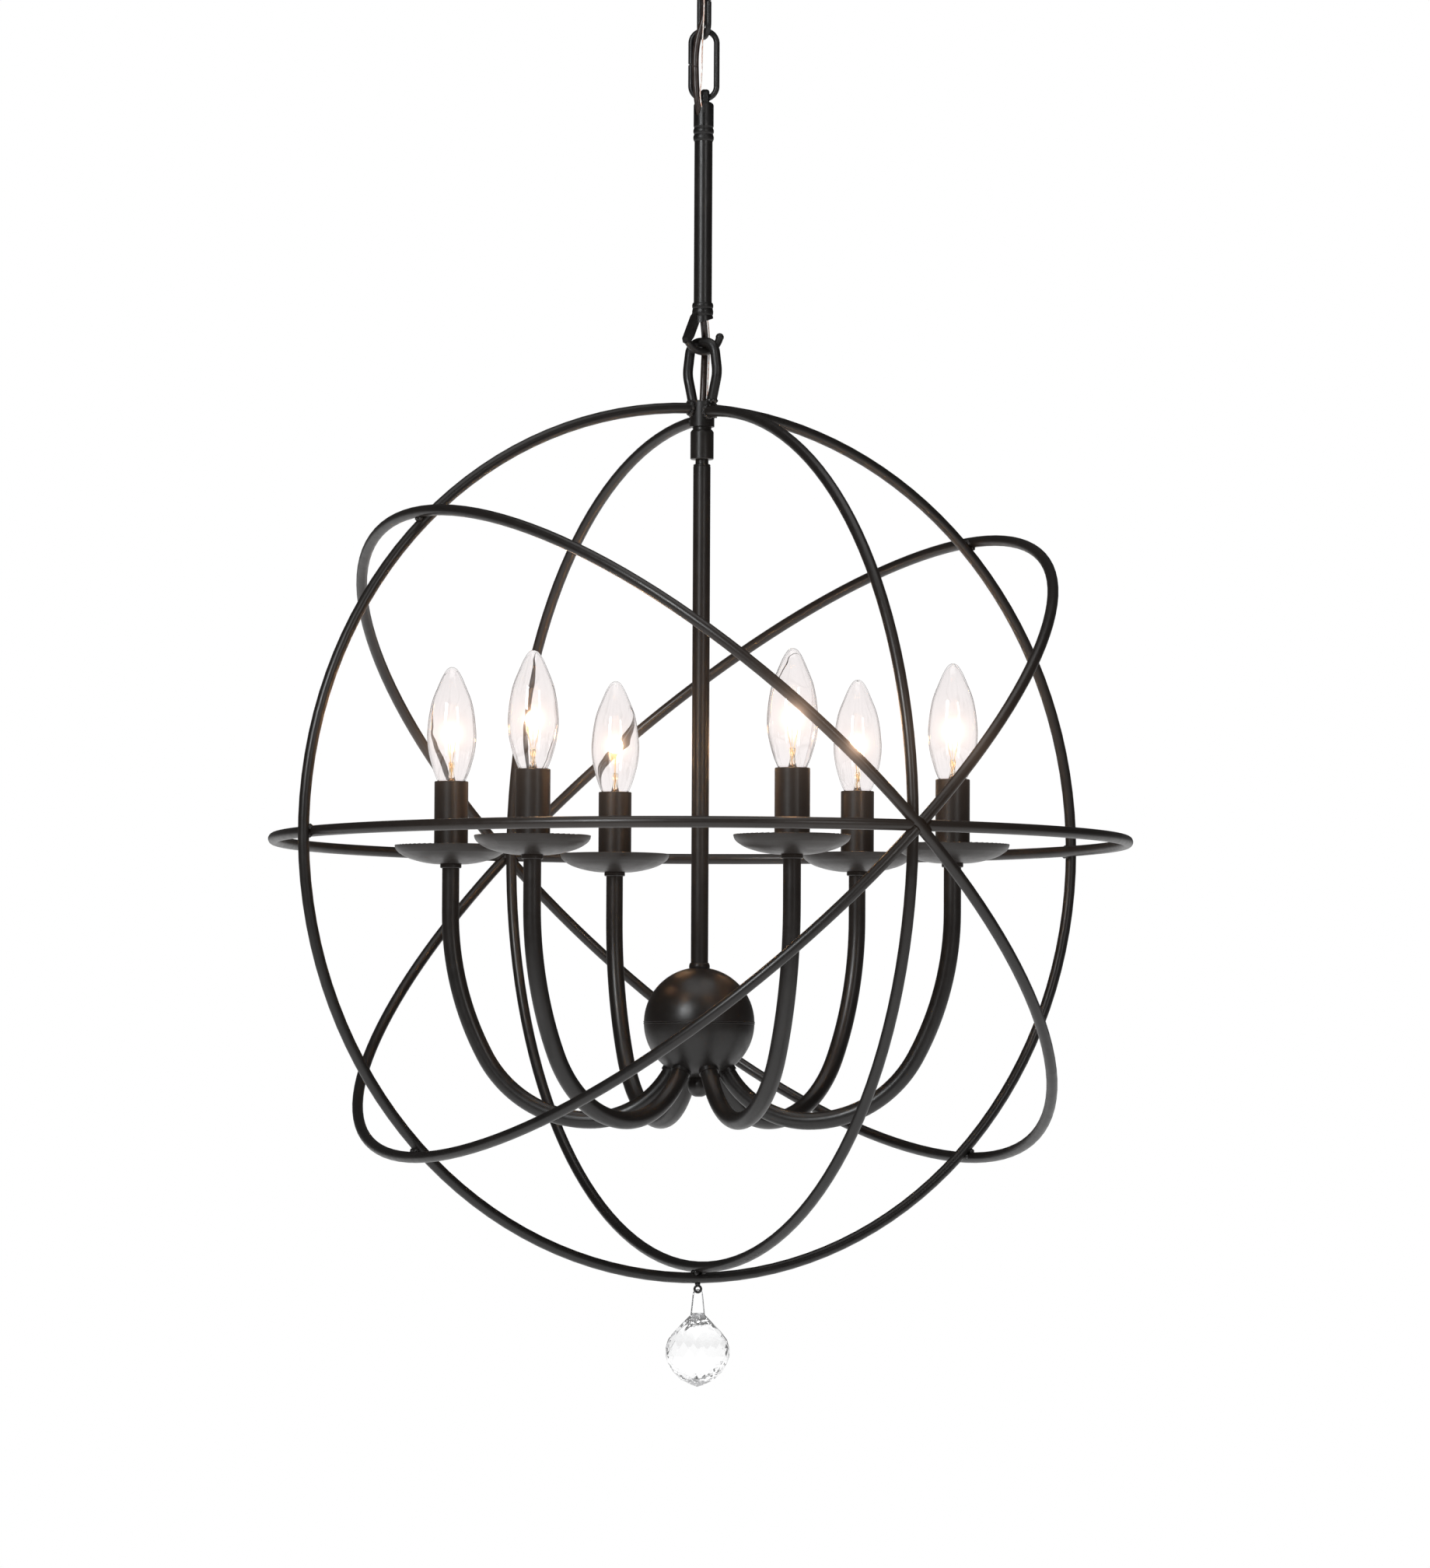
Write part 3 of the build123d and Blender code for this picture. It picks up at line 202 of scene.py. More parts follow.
# ---------------------------------------------------------------------------
# Cords: supply cord and ground wire, one length across each joint
# ---------------------------------------------------------------------------
SUPPLY = [
    [(-0.0007, 0.0, -0.0015), (-0.0008, -0.0002, -0.0335), (-0.0059, -0.0076, -0.0475), (-0.0039, -0.0059, -0.064), (0.0004, -0.00462, -0.08), (0.0005, -0.0046, -0.089)],
    [(0.0005, -0.0046, -0.089), (0.0006, -0.00458, -0.098), (-0.0045, -0.0055, -0.113), (-0.0064, -0.0054, -0.127), (-0.0062, -0.00535, -0.135)],
    [(-0.0062, -0.00535, -0.135), (-0.006, -0.0053, -0.143), (-0.0054, -0.0056, -0.156), (-0.003, -0.0036, -0.17), (-0.0007, -0.0004, -0.184), (-0.0002, 0.0, -0.309)],
    [(-0.0002, 0.0, -0.309), (-0.000168, 0.0000256, -0.317), (0.0009, 0.003, -0.3245), (0.002, 0.0094, -0.337), (0.0015, 0.0092, -0.348), (0.001, 0.0036, -0.363), (0.0005, 0.0004, -0.38),
     (-0.0006, 0.0, -0.396), (-0.0006, 0.0, -0.809), (-0.0005, 0.005, -0.819), (-0.0002, 0.013, -0.83), (0.0, 0.0175, -0.844)],
]
EARTH = [
    [(0.0026, 0.0, -0.0015), (0.0025, -0.0003, -0.0335), (-0.0022, -0.0104, -0.0485), (-0.0003, -0.0089, -0.064), (0.0001, -0.0082, -0.08), (0.0, -0.0084, -0.089)],
    [(0.0, -0.0084, -0.089), (-0.0001, -0.0086, -0.098), (-0.001, -0.0087, -0.113), (-0.0013, -0.0076, -0.127), (-0.0014, -0.0075, -0.135)],
    [(-0.0014, -0.0075, -0.135), (-0.0015, -0.0074, -0.143), (-0.0032, -0.009, -0.158), (0.0005, -0.0036, -0.172), (0.0026, -0.0002, -0.186), (0.003, 0.0003, -0.309)],
    [(0.003, 0.0003, -0.309), (0.003026, 0.0003325, -0.317), (0.0042, 0.0032, -0.3245), (0.0053, 0.0096, -0.337), (0.0048, 0.0094, -0.348), (0.0042, 0.0042, -0.363), (0.0036, 0.0009, -0.38),
     (0.00255, 0.0, -0.396), (0.00255, 0.0, -0.809), (0.0029, 0.0051, -0.819), (0.0036, 0.0132, -0.83), (0.0044, 0.0176, -0.844)],
]
SPANS = [("cord_canopy", "ceiling", "upper_link", 0.0895, 0.0901), ("cord_links", "upper_link", "lower_link", 0.0464, 0.0461),
         ("cord_stem", "lower_link", "stem", 0.1748, 0.1757), ("cord_column", "stem", "orb", 0.5423, 0.5423)]
# each row: cord node, the two bodies across its joint, and the supply and ground lengths
cords, earths = [], []
for i, (node, body_a, body_b, long_supply, long_earth) in enumerate(SPANS):
    for name, route, radius, length, kept in (("supply", SUPPLY[i], 0.00245, long_supply, cords), ("ground", EARTH[i], 0.0005, long_earth, earths)):
        line = curve_points("route", route)
        body = mesh_object(f"{node}_{name}", *tube_data(line, radius, 24 if name == "supply" else 12))
        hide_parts(node)
        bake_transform(body)
        kept.append(body)


# ---------------------------------------------------------------------------
# Materials
# ---------------------------------------------------------------------------
def new_material(name):
    mat = bpy.data.materials.new(name)
    mat.use_nodes = True
    tree = mat.node_tree
    tree.nodes.clear()
    out = tree.nodes.new("ShaderNodeOutputMaterial")
    bsdf = tree.nodes.new("ShaderNodeBsdfPrincipled")
    tree.links.new(bsdf.outputs[0], out.inputs[0])
    coords = tree.nodes.new("ShaderNodeTexCoord")
    return mat, tree, bsdf, coords.outputs["Object"]


def noise_node(tree, coords, scale, detail=3.0, rough=0.5, stretch=None):
    if stretch:
        mapping = tree.nodes.new("ShaderNodeMapping")
        mapping.inputs["Scale"].default_value = stretch
        tree.links.new(coords, mapping.inputs["Vector"])
        coords = mapping.outputs[0]
    node = tree.nodes.new("ShaderNodeTexNoise")
    node.inputs["Scale"].default_value = scale
    node.inputs["Detail"].default_value = detail
    node.inputs["Roughness"].default_value = rough
    tree.links.new(coords, node.inputs["Vector"])
    return node.outputs["Fac"]


def ramp(tree, fac, stops):
    node = tree.nodes.new("ShaderNodeValToRGB")
    while len(node.color_ramp.elements) < len(stops):
        node.color_ramp.elements.new(0.5)
    for e, (pos, col) in zip(node.color_ramp.elements, stops):
        e.position = pos
        e.color = (*col, 1.0) if len(col) == 3 else col
    tree.links.new(fac, node.inputs[0])
    return node.outputs[0]


def spread(tree, fac, low, high, from_low=0.3, from_high=0.7):
    node = tree.nodes.new("ShaderNodeMapRange")
    for key, value in (("From Min", from_low), ("From Max", from_high), ("To Min", low), ("To Max", high)):
        node.inputs[key].default_value = value
    tree.links.new(fac, node.inputs["Value"])
    return node.outputs[0]


def bump(tree, bsdf, heights, distance=0.0001, strength=0.3):
    """Adds up height fields given as (socket, weight) and bumps the surface with them."""
    total = None
    for socket, weight in heights:
        mul = tree.nodes.new("ShaderNodeMath")
        mul.operation = "MULTIPLY"
        mul.inputs[1].default_value = weight
        tree.links.new(socket, mul.inputs[0])
        if total is None:
            total = mul.outputs[0]
        else:
            add = tree.nodes.new("ShaderNodeMath")
            add.operation = "ADD"
            tree.links.new(total, add.inputs[0])
            tree.links.new(mul.outputs[0], add.inputs[1])
            total = add.outputs[0]
    node = tree.nodes.new("ShaderNodeBump")
    node.inputs["Strength"].default_value = strength
    node.inputs["Distance"].default_value = distance
    tree.links.new(total, node.inputs["Height"])
    tree.links.new(node.outputs[0], bsdf.inputs["Normal"])


def coat_material(name, dark, light, rough=(0.36, 0.48), peel=0.35):
    """Satin powder coat: fine orange peel, faint cloudy colour, a little dust in its roughness."""
    mat, tree, bsdf, co = new_material(name)
    cloud = noise_node(tree, co, 38, 4, 0.6)
    fine = noise_node(tree, co, 1500, 2, 0.5)
    tree.links.new(ramp(tree, cloud, [(0.3, dark), (0.55, tuple((a + b) / 2 for a, b in zip(dark, light))), (0.75, light)]), bsdf.inputs["Base Color"])
    tree.links.new(spread(tree, noise_node(tree, co, 160, 4, 0.65), rough[0], rough[1]), bsdf.inputs["Roughness"])
    bsdf.inputs["Specular IOR Level"].default_value = 0.42
    bump(tree, bsdf, [(fine, 1.0), (noise_node(tree, co, 420, 3, 0.6), 0.8)], 0.00006, peel)
    return mat


BLACK = coat_material("black_coat", (0.0075, 0.0066, 0.0062), (0.0135, 0.0115, 0.0105), (0.29, 0.40), 0.3)
BLACK_CAST = coat_material("black_coat_rough", (0.004, 0.0035, 0.0033), (0.010, 0.0085, 0.0078), (0.30, 0.50), 0.8)
BEAD = coat_material("black_coat_weld", (0.005, 0.0045, 0.0042), (0.014, 0.012, 0.011), (0.28, 0.45), 1.0)

SOCKET, tree, bsdf, co = new_material("socket_plastic")
tree.links.new(ramp(tree, noise_node(tree, co, 120, 3), [(0.3, (0.02, 0.02, 0.02)), (0.7, (0.035, 0.034, 0.033))]), bsdf.inputs["Base Color"])
tree.links.new(spread(tree, noise_node(tree, co, 300), 0.45, 0.6), bsdf.inputs["Roughness"])
bump(tree, bsdf, [(noise_node(tree, co, 900), 1.0)], 0.00005, 0.4)

ZINC, tree, bsdf, co = new_material("zinc_steel")
tree.links.new(ramp(tree, noise_node(tree, co, 60, 5, 0.7), [(0.3, (0.42, 0.42, 0.40)), (0.5, (0.55, 0.55, 0.53)), (0.7, (0.62, 0.60, 0.54))]), bsdf.inputs["Base Color"])
bsdf.inputs["Metallic"].default_value = 1.0
tree.links.new(spread(tree, noise_node(tree, co, 500, 4, stretch=(1, 1, 6)), 0.28, 0.5), bsdf.inputs["Roughness"])
bump(tree, bsdf, [(noise_node(tree, co, 1800, 2), 1.0)], 0.00004, 0.3)

GREEN, tree, bsdf, co = new_material("green_screw")
tree.links.new(ramp(tree, noise_node(tree, co, 200, 4), [(0.3, (0.02, 0.20, 0.05)), (0.7, (0.05, 0.32, 0.09))]), bsdf.inputs["Base Color"])
bsdf.inputs["Metallic"].default_value = 0.6
tree.links.new(spread(tree, noise_node(tree, co, 700), 0.3, 0.45), bsdf.inputs["Roughness"])
bump(tree, bsdf, [(noise_node(tree, co, 1500), 1.0)], 0.00004, 0.3)

TERMINAL, tree, bsdf, co = new_material("terminal_plastic")
tree.links.new(ramp(tree, noise_node(tree, co, 90, 3), [(0.3, (0.78, 0.76, 0.70)), (0.7, (0.86, 0.85, 0.81))]), bsdf.inputs["Base Color"])
tree.links.new(spread(tree, noise_node(tree, co, 400), 0.35, 0.5), bsdf.inputs["Roughness"])
bump(tree, bsdf, [(noise_node(tree, co, 800), 1.0)], 0.00005, 0.3)

LEADS, tree, bsdf, co = new_material("lead_jacket")
tree.links.new(ramp(tree, noise_node(tree, co, 150, 3), [(0.3, (0.62, 0.60, 0.54)), (0.7, (0.78, 0.76, 0.70))]), bsdf.inputs["Base Color"])
tree.links.new(spread(tree, noise_node(tree, co, 500), 0.35, 0.5), bsdf.inputs["Roughness"])
bump(tree, bsdf, [(noise_node(tree, co, 700), 1.0)], 0.00006, 0.4)

CORD, tree, bsdf, co = new_material("cord_jacket")
tree.links.new(ramp(tree, noise_node(tree, co, 260, 4, 0.6), [(0.3, (0.016, 0.010, 0.008)), (0.55, (0.030, 0.019, 0.015)), (0.75, (0.048, 0.032, 0.026))]), bsdf.inputs["Base Color"])
tree.links.new(spread(tree, noise_node(tree, co, 800, 3, stretch=(1, 1, 0.12)), 0.26, 0.42), bsdf.inputs["Roughness"])
bump(tree, bsdf, [(noise_node(tree, co, 900, 3, stretch=(1, 1, 0.1)), 1.0), (noise_node(tree, co, 300), 0.6)], 0.0001, 0.5)

# clear jacket with the copper strand just showing through
CLEAR, tree, bsdf, co = new_material("ground_jacket")
tree.links.new(ramp(tree, noise_node(tree, co, 900, 3, stretch=(1, 1, 0.3)), [(0.35, (0.62, 0.30, 0.20)), (0.5, (0.80, 0.66, 0.58)), (0.62, (0.88, 0.85, 0.82))]), bsdf.inputs["Base Color"])
tree.links.new(spread(tree, noise_node(tree, co, 500), 0.12, 0.25), bsdf.inputs["Roughness"])
bsdf.inputs["Coat Weight"].default_value = 0.6
bsdf.inputs["Coat Roughness"].default_value = 0.08
bump(tree, bsdf, [(noise_node(tree, co, 600, 2, stretch=(1, 1, 0.2)), 1.0)], 0.00006, 0.3)

WIRE, tree, bsdf, co = new_material("silver_wire")
tree.links.new(ramp(tree, noise_node(tree, co, 700, 3), [(0.3, (0.62, 0.62, 0.63)), (0.7, (0.80, 0.80, 0.81))]), bsdf.inputs["Base Color"])
bsdf.inputs["Metallic"].default_value = 1.0
tree.links.new(spread(tree, noise_node(tree, co, 1500, 3), 0.14, 0.26), bsdf.inputs["Roughness"])
bump(tree, bsdf, [(noise_node(tree, co, 2500), 1.0)], 0.00003, 0.3)

BRASS, tree, bsdf, co = new_material("lamp_base_metal")
tree.links.new(ramp(tree, noise_node(tree, co, 300, 4), [(0.3, (0.60, 0.48, 0.26)), (0.7, (0.74, 0.62, 0.36))]), bsdf.inputs["Base Color"])
bsdf.inputs["Metallic"].default_value = 1.0
tree.links.new(spread(tree, noise_node(tree, co, 900), 0.22, 0.36), bsdf.inputs["Roughness"])
bump(tree, bsdf, [(noise_node(tree, co, 1500), 1.0)], 0.00004, 0.3)

LEADWIRE, tree, bsdf, co = new_material("support_wire")
tree.links.new(ramp(tree, noise_node(tree, co, 1200, 3), [(0.3, (0.45, 0.30, 0.10)), (0.7, (0.75, 0.55, 0.22))]), bsdf.inputs["Base Color"])
bsdf.inputs["Metallic"].default_value = 0.9
tree.links.new(spread(tree, noise_node(tree, co, 1500), 0.3, 0.45), bsdf.inputs["Roughness"])
bump(tree, bsdf, [(noise_node(tree, co, 3000), 1.0)], 0.00003, 0.3)

GLASS, tree, bsdf, co = new_material("lamp_glass")
# painted shade: the glass colour is mixed by viewing angle to dark grey towards the bulb's silhouette, a painted dark
# rim over the glass's own faint tint
edge = tree.nodes.new("ShaderNodeLayerWeight")
edge.inputs["Blend"].default_value = 0.5
tint_and_painted_rim = tree.nodes.new("ShaderNodeMix")
tint_and_painted_rim.data_type = "RGBA"
tree.links.new(ramp(tree, edge.outputs["Facing"], [(0.66, (0, 0, 0)), (0.88, (1, 1, 1))]), tint_and_painted_rim.inputs["Factor"])
tree.links.new(ramp(tree, noise_node(tree, co, 30, 3), [(0.3, (0.945, 0.922, 0.922)), (0.7, (0.962, 0.942, 0.942))]), tint_and_painted_rim.inputs["A"])
# dark grey of the painted rim
tint_and_painted_rim.inputs["B"].default_value = (0.16, 0.15, 0.155, 1)
tree.links.new(tint_and_painted_rim.outputs["Result"], bsdf.inputs["Base Color"])
bsdf.inputs["Transmission Weight"].default_value = 1.0
bsdf.inputs["IOR"].default_value = 1.47
tree.links.new(spread(tree, noise_node(tree, co, 60), 0.0, 0.015), bsdf.inputs["Roughness"])
bump(tree, bsdf, [(noise_node(tree, co, 55, 2), 1.0)], 0.0004, 0.12)

STEMGLASS, tree, bsdf, co = new_material("stem_glass")
tree.links.new(ramp(tree, noise_node(tree, co, 200, 3), [(0.3, (0.93, 0.86, 0.70)), (0.7, (0.98, 0.94, 0.86))]), bsdf.inputs["Base Color"])
bsdf.inputs["Transmission Weight"].default_value = 1.0
bsdf.inputs["IOR"].default_value = 1.52
tree.links.new(spread(tree, noise_node(tree, co, 300), 0.0, 0.06), bsdf.inputs["Roughness"])
bump(tree, bsdf, [(noise_node(tree, co, 300, 2), 1.0)], 0.0003, 0.4)

CRYSTAL, tree, bsdf, co = new_material("crystal")
tree.links.new(ramp(tree, noise_node(tree, co, 60, 2), [(0.3, (0.985, 0.985, 0.99)), (0.7, (1.0, 1.0, 1.0))]), bsdf.inputs["Base Color"])
bsdf.inputs["Transmission Weight"].default_value = 1.0
bsdf.inputs["IOR"].default_value = 1.54
bsdf.inputs["Emission Color"].default_value = (1, 1, 1, 1)
bsdf.inputs["Emission Strength"].default_value = 0.03      # light scattered inside by the many facets
tree.links.new(spread(tree, noise_node(tree, co, 200), 0.0, 0.008), bsdf.inputs["Roughness"])
bump(tree, bsdf, [(noise_node(tree, co, 120, 2), 1.0)], 0.00005, 0.05)

GLOW, tree, bsdf, co = new_material("filament")
tree.links.new(ramp(tree, noise_node(tree, co, 2500, 2), [(0.3, (1.0, 0.55, 0.22)), (0.7, (1.0, 0.72, 0.40))]), bsdf.inputs["Emission Color"])
bsdf.inputs["Base Color"].default_value = (0.3, 0.2, 0.1, 1)
bsdf.inputs["Emission Strength"].default_value = 420.0
tree.links.new(spread(tree, noise_node(tree, co, 1500), 0.4, 0.6), bsdf.inputs["Roughness"])

SLOTS = {"black_coat": BLACK, "zinc_steel": ZINC, "green_screw": GREEN, "terminal_plastic": TERMINAL, "lead_jacket": LEADS,
         "socket_plastic": SOCKET, "cord_jacket": CORD, "silver_wire": WIRE, "crystal": CRYSTAL, "lamp_glass": GLASS}


def dress(obj, mat):
    obj.data.materials.clear()
    obj.data.materials.append(mat)


slot_of = {s["node"]: s["material_slot"] for s in frame["record"]["subparts"]}
for name, obj in nodes.items():
    dress(obj, SLOTS[slot_of[name]])
for name in ("stem_hook", "stem_top_loop", "hanger_loop", "chain_link_upper", "chain_link_lower", "canopy_loop", "ring_hub"):
    dress(nodes[name], BLACK_CAST)
for name in ("column_nipple", "column_ring_nut"):
    dress(nodes[name], BLACK)
for body in cords:
    dress(body, CORD)
for body in earths:
    dress(body, CLEAR)


# ---------------------------------------------------------------------------
# Lamps: blown glass, screw base, glass stem, support wires and filament
# ---------------------------------------------------------------------------
def smooth_profile(points, steps):
    """Catmull-Rom points through a turned profile."""
    out = []
    p = [Vector((a, b)) for a, b in points]
    for i in range(len(p) - 1):
        p0, p1, p2, p3 = p[max(i - 1, 0)], p[i], p[i + 1], p[min(i + 2, len(p) - 1)]
        for s in range(steps):
            t = s / steps
            out.append(0.5 * ((2 * p1) + (p2 - p0) * t + (2 * p0 - 5 * p1 + 4 * p2 - p3) * t * t + (3 * p1 - p0 - 3 * p2 + p3) * t ** 3))
    out.append(p[-1])
    return [(max(v.x, 0.0), v.y) for v in out]


OUTSIDE = [(10.2, 44.8), (11.9, 48.8), (13.8, 54.0), (16.5, 63.9), (17.8, 72.1), (18.1, 78.2), (17.8, 84.2), (16.6, 94.4), (14.3, 104.8), (10.2, 115.1), (7.0, 122.4), (3.9, 127.3), (1.6, 128.9), (0.0, 129.15)]
INSIDE = [(9.4, 45.1), (11.0, 48.9), (12.85, 54.0), (15.7, 64.2), (17.0, 72.3), (17.3, 78.2), (16.9, 84.3), (15.8, 94.4), (13.6, 104.5), (9.4, 114.8), (5.8, 122.6), (3.2, 126.4), (1.3, 127.7), (0.0, 127.9)]
LIGHT_R = 186.0
for i in range(6):
    az = math.radians(-9.5 + 60 * i)
    c = (LIGHT_R * math.cos(az), LIGHT_R * math.sin(az))
    body, number = f"lamp_{i + 1}", i + 1
    outer = [(6.1, 38.2), (6.1, 40.6), (9.0, 42.9)] + smooth_profile(OUTSIDE, 5)
    inner = smooth_profile(INSIDE, 5)[::-1] + [(8.4, 43.5), (5.3, 41.0), (5.3, 38.2)]
    glass = mesh_object(f"bulb_{number}_glass", *turned_data(outer + inner, c, 72))
    dress(glass, GLASS)
    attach(glass, body)
    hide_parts(f"bulb_{number}")
    glass.visible_shadow = False
    # screw base: rounded thread, insulator and contact
    profile = [(0.0, 20.65), (1.9, 20.7), (2.3, 21.6), (4.4, 23.1), (5.2, 24.0)]
    for turn in range(5):
        z = 24.4 + turn * 2.5
        profile += [(5.35, z), (5.75, z + 0.6), (5.88, z + 1.2), (5.75, z + 1.8), (5.35, z + 2.3)]
    profile += [(5.7, 37.3), (5.7, 38.0), (0.0, 38.0)]
    base = mesh_object(f"bulb_{number}_base", *turned_data(profile, c, 48))
    dress(base, BRASS)
    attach(base, body)
    # glass stem with its pinch; the tubulation inside is not built
    stem = [(0.0, 38.6), (4.6, 38.6), (4.2, 42.0), (3.0, 46.0), (2.1, 50.0), (1.9, 54.0), (2.3, 56.5), (2.2, 58.6), (1.2, 59.4), (0.0, 59.5)]
    obj = mesh_object(f"bulb_{number}_stem", *turned_data(smooth_profile(stem[1:], 3)[:-1] + [(0.0, 59.5), (0.0, 38.6)], c, 32))
    dress(obj, STEMGLASS)
    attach(obj, body)
    obj.visible_shadow = False
    # lead and support wires: the filament faces a little differently in every lamp
    turn = math.radians((37 * i + 20) % 180)
    ca, sa = math.cos(turn), math.sin(turn)

    def place(x, h, y=0.0):
        return pt(c[0] + x * ca - y * sa, c[1] + x * sa + y * ca, h)

    wires = []
    for side in (-1, 1):
        wires.append(tube_data([place(side * 0.9, 52.0), place(side * 1.1, 57.0), place(side * 1.5, 61.0), place(side * 3.6, 69.0), place(side * 4.4, 76.0), place(side * 4.1, 77.0)], 0.0002, 8))
    wires.append(tube_data([place(0, 56.0, 0.4), place(0, 62.0, 0.7), place(0.1, 72.0, 0.9), place(0, 82.5, 0.2), place(0, 83.2, -0.5)], 0.00015, 8))
    wires.append(tube_data([place(0.3, 46.0, 0.2), place(-0.4, 50.0, 0.3), place(0.3, 54.5, -0.2), place(-0.2, 58.0, 0.3)], 0.0003, 8))
    obj = joined(f"bulb_{number}_wires", wires)
    dress(obj, LEADWIRE)
    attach(obj, body)
    # coiled filament in an arch between the leads, over the support
    coil = []
    turns, steps = 26, 12
    for k in range(turns * steps + 1):
        s = k / (turns * steps)
        x = -4.2 + 8.4 * s
        h = 76.6 + 6.4 * (1 - (2 * s - 1) ** 2)
        a = 2 * math.pi * turns * s
        coil.append(place(x, h + 0.42 * math.cos(a), 0.42 * math.sin(a)))
    obj = mesh_object(f"bulb_{number}_filament", *tube_data(coil, 0.00013, 6))
    dress(obj, GLOW)
    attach(obj, body)


# ---------------------------------------------------------------------------
# Crystal: staggered flat facets; the hole drilled for its wire is not cut
# ---------------------------------------------------------------------------
def crystal_mesh():
    rings = [(4.0, -343.45, 8, 0.0), (11.4, -351.1, 16, 0.5), (17.6, -357.4, 16, 0.0), (21.6, -362.9, 16, 0.5), (23.4, -368.6, 16, 0.0),
             (23.35, -374.6, 16, 0.5), (21.4, -380.6, 16, 0.0), (17.7, -386.3, 16, 0.5), (12.1, -391.9, 16, 0.0), (5.6, -395.2, 8, 0.5)]
    bm = bmesh.new()
    for r, h, n, shift in rings:
        for k in range(n):
            a = 2 * math.pi * (k + shift) / n + 0.13
            bm.verts.new(pt(r * math.cos(a), r * math.sin(a), h))
    bm.verts.new(pt(0, 0, -397.1))
    hull = bmesh.ops.convex_hull(bm, input=bm.verts)
    bmesh.ops.delete(bm, geom=[g for g in hull["geom_interior"] if isinstance(g, bmesh.types.BMVert)], context="VERTS")
    bmesh.ops.dissolve_limit(bm, angle_limit=math.radians(1.5), verts=bm.verts, edges=bm.edges)
    bmesh.ops.recalc_face_normals(bm, faces=bm.faces)
    mesh = bpy.data.meshes.new("crystal_drop")
    bm.to_mesh(mesh)
    bm.free()
    obj = bpy.data.objects.new("crystal_drop_faceted", mesh)
    scene.collection.objects.link(obj)
    return obj


drop = crystal_mesh()
dress(drop, CRYSTAL)
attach(drop, "crystal_drop")
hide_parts("crystal_ball")


# ---------------------------------------------------------------------------
# Weld beads
# ---------------------------------------------------------------------------
def blob(centre, radius, seed, squash_axis=None, rough=0.18):
    bm = bmesh.new()
    bmesh.ops.create_icosphere(bm, subdivisions=3, radius=1.0)
    verts = []
    for v in bm.verts:
        d = v.co.normalized()
        k = 1 + rough * noise.noise(d * 1.7 + Vector((seed, seed * 0.7, 0.3))) * 2 + 0.5 * rough * noise.noise(d * 4.1 + Vector((seed * 1.3, 0.2, seed)))
        q = d * k
        if squash_axis is not None:
            q -= squash_axis * q.dot(squash_axis) * 0.35
        verts.append(centre + q * radius)
    faces = [tuple(v.index for v in f.verts) for f in bm.faces]
    bm.free()
    return verts, faces


def weld(name, centre, spots, size, seed):
    """A bead: overlapping dabs melted into one skin."""
    parts = [blob(centre + s, size * (0.85 + 0.3 * noise.noise(Vector((seed + k, 0.5, 0.1)))), seed + 3.7 * k) for k, s in enumerate(spots)]
    obj = joined(name, parts)
    mod = obj.modifiers.new("melt", "REMESH")
    mod.mode = "VOXEL"
    mod.voxel_size = 0.00035
    mod2 = obj.modifiers.new("even", "SMOOTH")
    mod2.iterations = 3
    bpy.context.view_layer.update()
    deps = bpy.context.evaluated_depsgraph_get()
    mesh = bpy.data.meshes.new_from_object(obj.evaluated_get(deps))
    obj.modifiers.clear()
    old = obj.data
    obj.data = mesh
    bpy.data.meshes.remove(old)
    for p in obj.data.polygons:
        p.use_smooth = True
    dress(obj, BEAD)
    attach(obj, "orb")
    return obj


OUT = math.radians(28.3)
IN = math.radians(28.3 - 90)
out_dir = Vector((math.cos(OUT), math.sin(OUT), 0))
in_dir = Vector((math.cos(IN), math.sin(IN), 0))
up = Vector((0, 0, 1))
centre = Vector((0, 0, ORB))
seed = 1.0
# outer ring with both tilted rings and the level ring
for side in (1, -1):
    for lift, label in ((45, "high"), (-45, "low")):
        e = math.radians(lift)
        d = (out_dir * side * math.cos(e) + up * math.sin(e))
        along = (-out_dir * side * math.sin(e) + up * math.cos(e))
        c = centre + d * 0.322
        spots = [along * 0.0028 + in_dir * 0.003, along * 0.0031 + in_dir * 0.0005, along * 0.0028 - in_dir * 0.0028,
                 -along * 0.0028 + in_dir * 0.0026, -along * 0.003 - in_dir * 0.0012]
        weld(f"weld_{label}_{'right' if side > 0 else 'left'}", c, spots, 0.0024, seed)
        seed += 11.3
    d = out_dir * side
    c = centre + d * 0.314
    spots = [up * 0.003 + in_dir * 0.0026, up * 0.003 - in_dir * 0.0016, -up * 0.003 + in_dir * 0.001, -up * 0.0029 - in_dir * 0.0028]
    weld(f"weld_level_{'right' if side > 0 else 'left'}", c, spots, 0.0024, seed)
    seed += 11.3
# nodes where the inner ring, the level ring and both tilted rings meet
for side, label in ((1, "front"), (-1, "back")):
    d = in_dir * side
    c = centre + d * 0.3175
    t = out_dir
    spots = []
    for a in (22, 68, 112, 158, 202, 248, 292, 338):
        q = math.radians(a)
        spots.append((t * math.cos(q) + up * math.sin(q)) * 0.0058 + d * 0.0008)
    spots += [d * 0.0012, -d * 0.003 + t * 0.003, -d * 0.003 - t * 0.003]
    weld(f"weld_node_{label}", c, spots, 0.0024, seed)
    seed += 11.3
# bottom crossing of the upright rings
c = centre - up * 0.314
weld("weld_bottom", c, [in_dir * 0.003 + out_dir * 0.0032, in_dir * 0.0028 - out_dir * 0.003, -in_dir * 0.003 + out_dir * 0.0026, -in_dir * 0.003 - out_dir * 0.0024], 0.0023, seed)
seed += 11.3
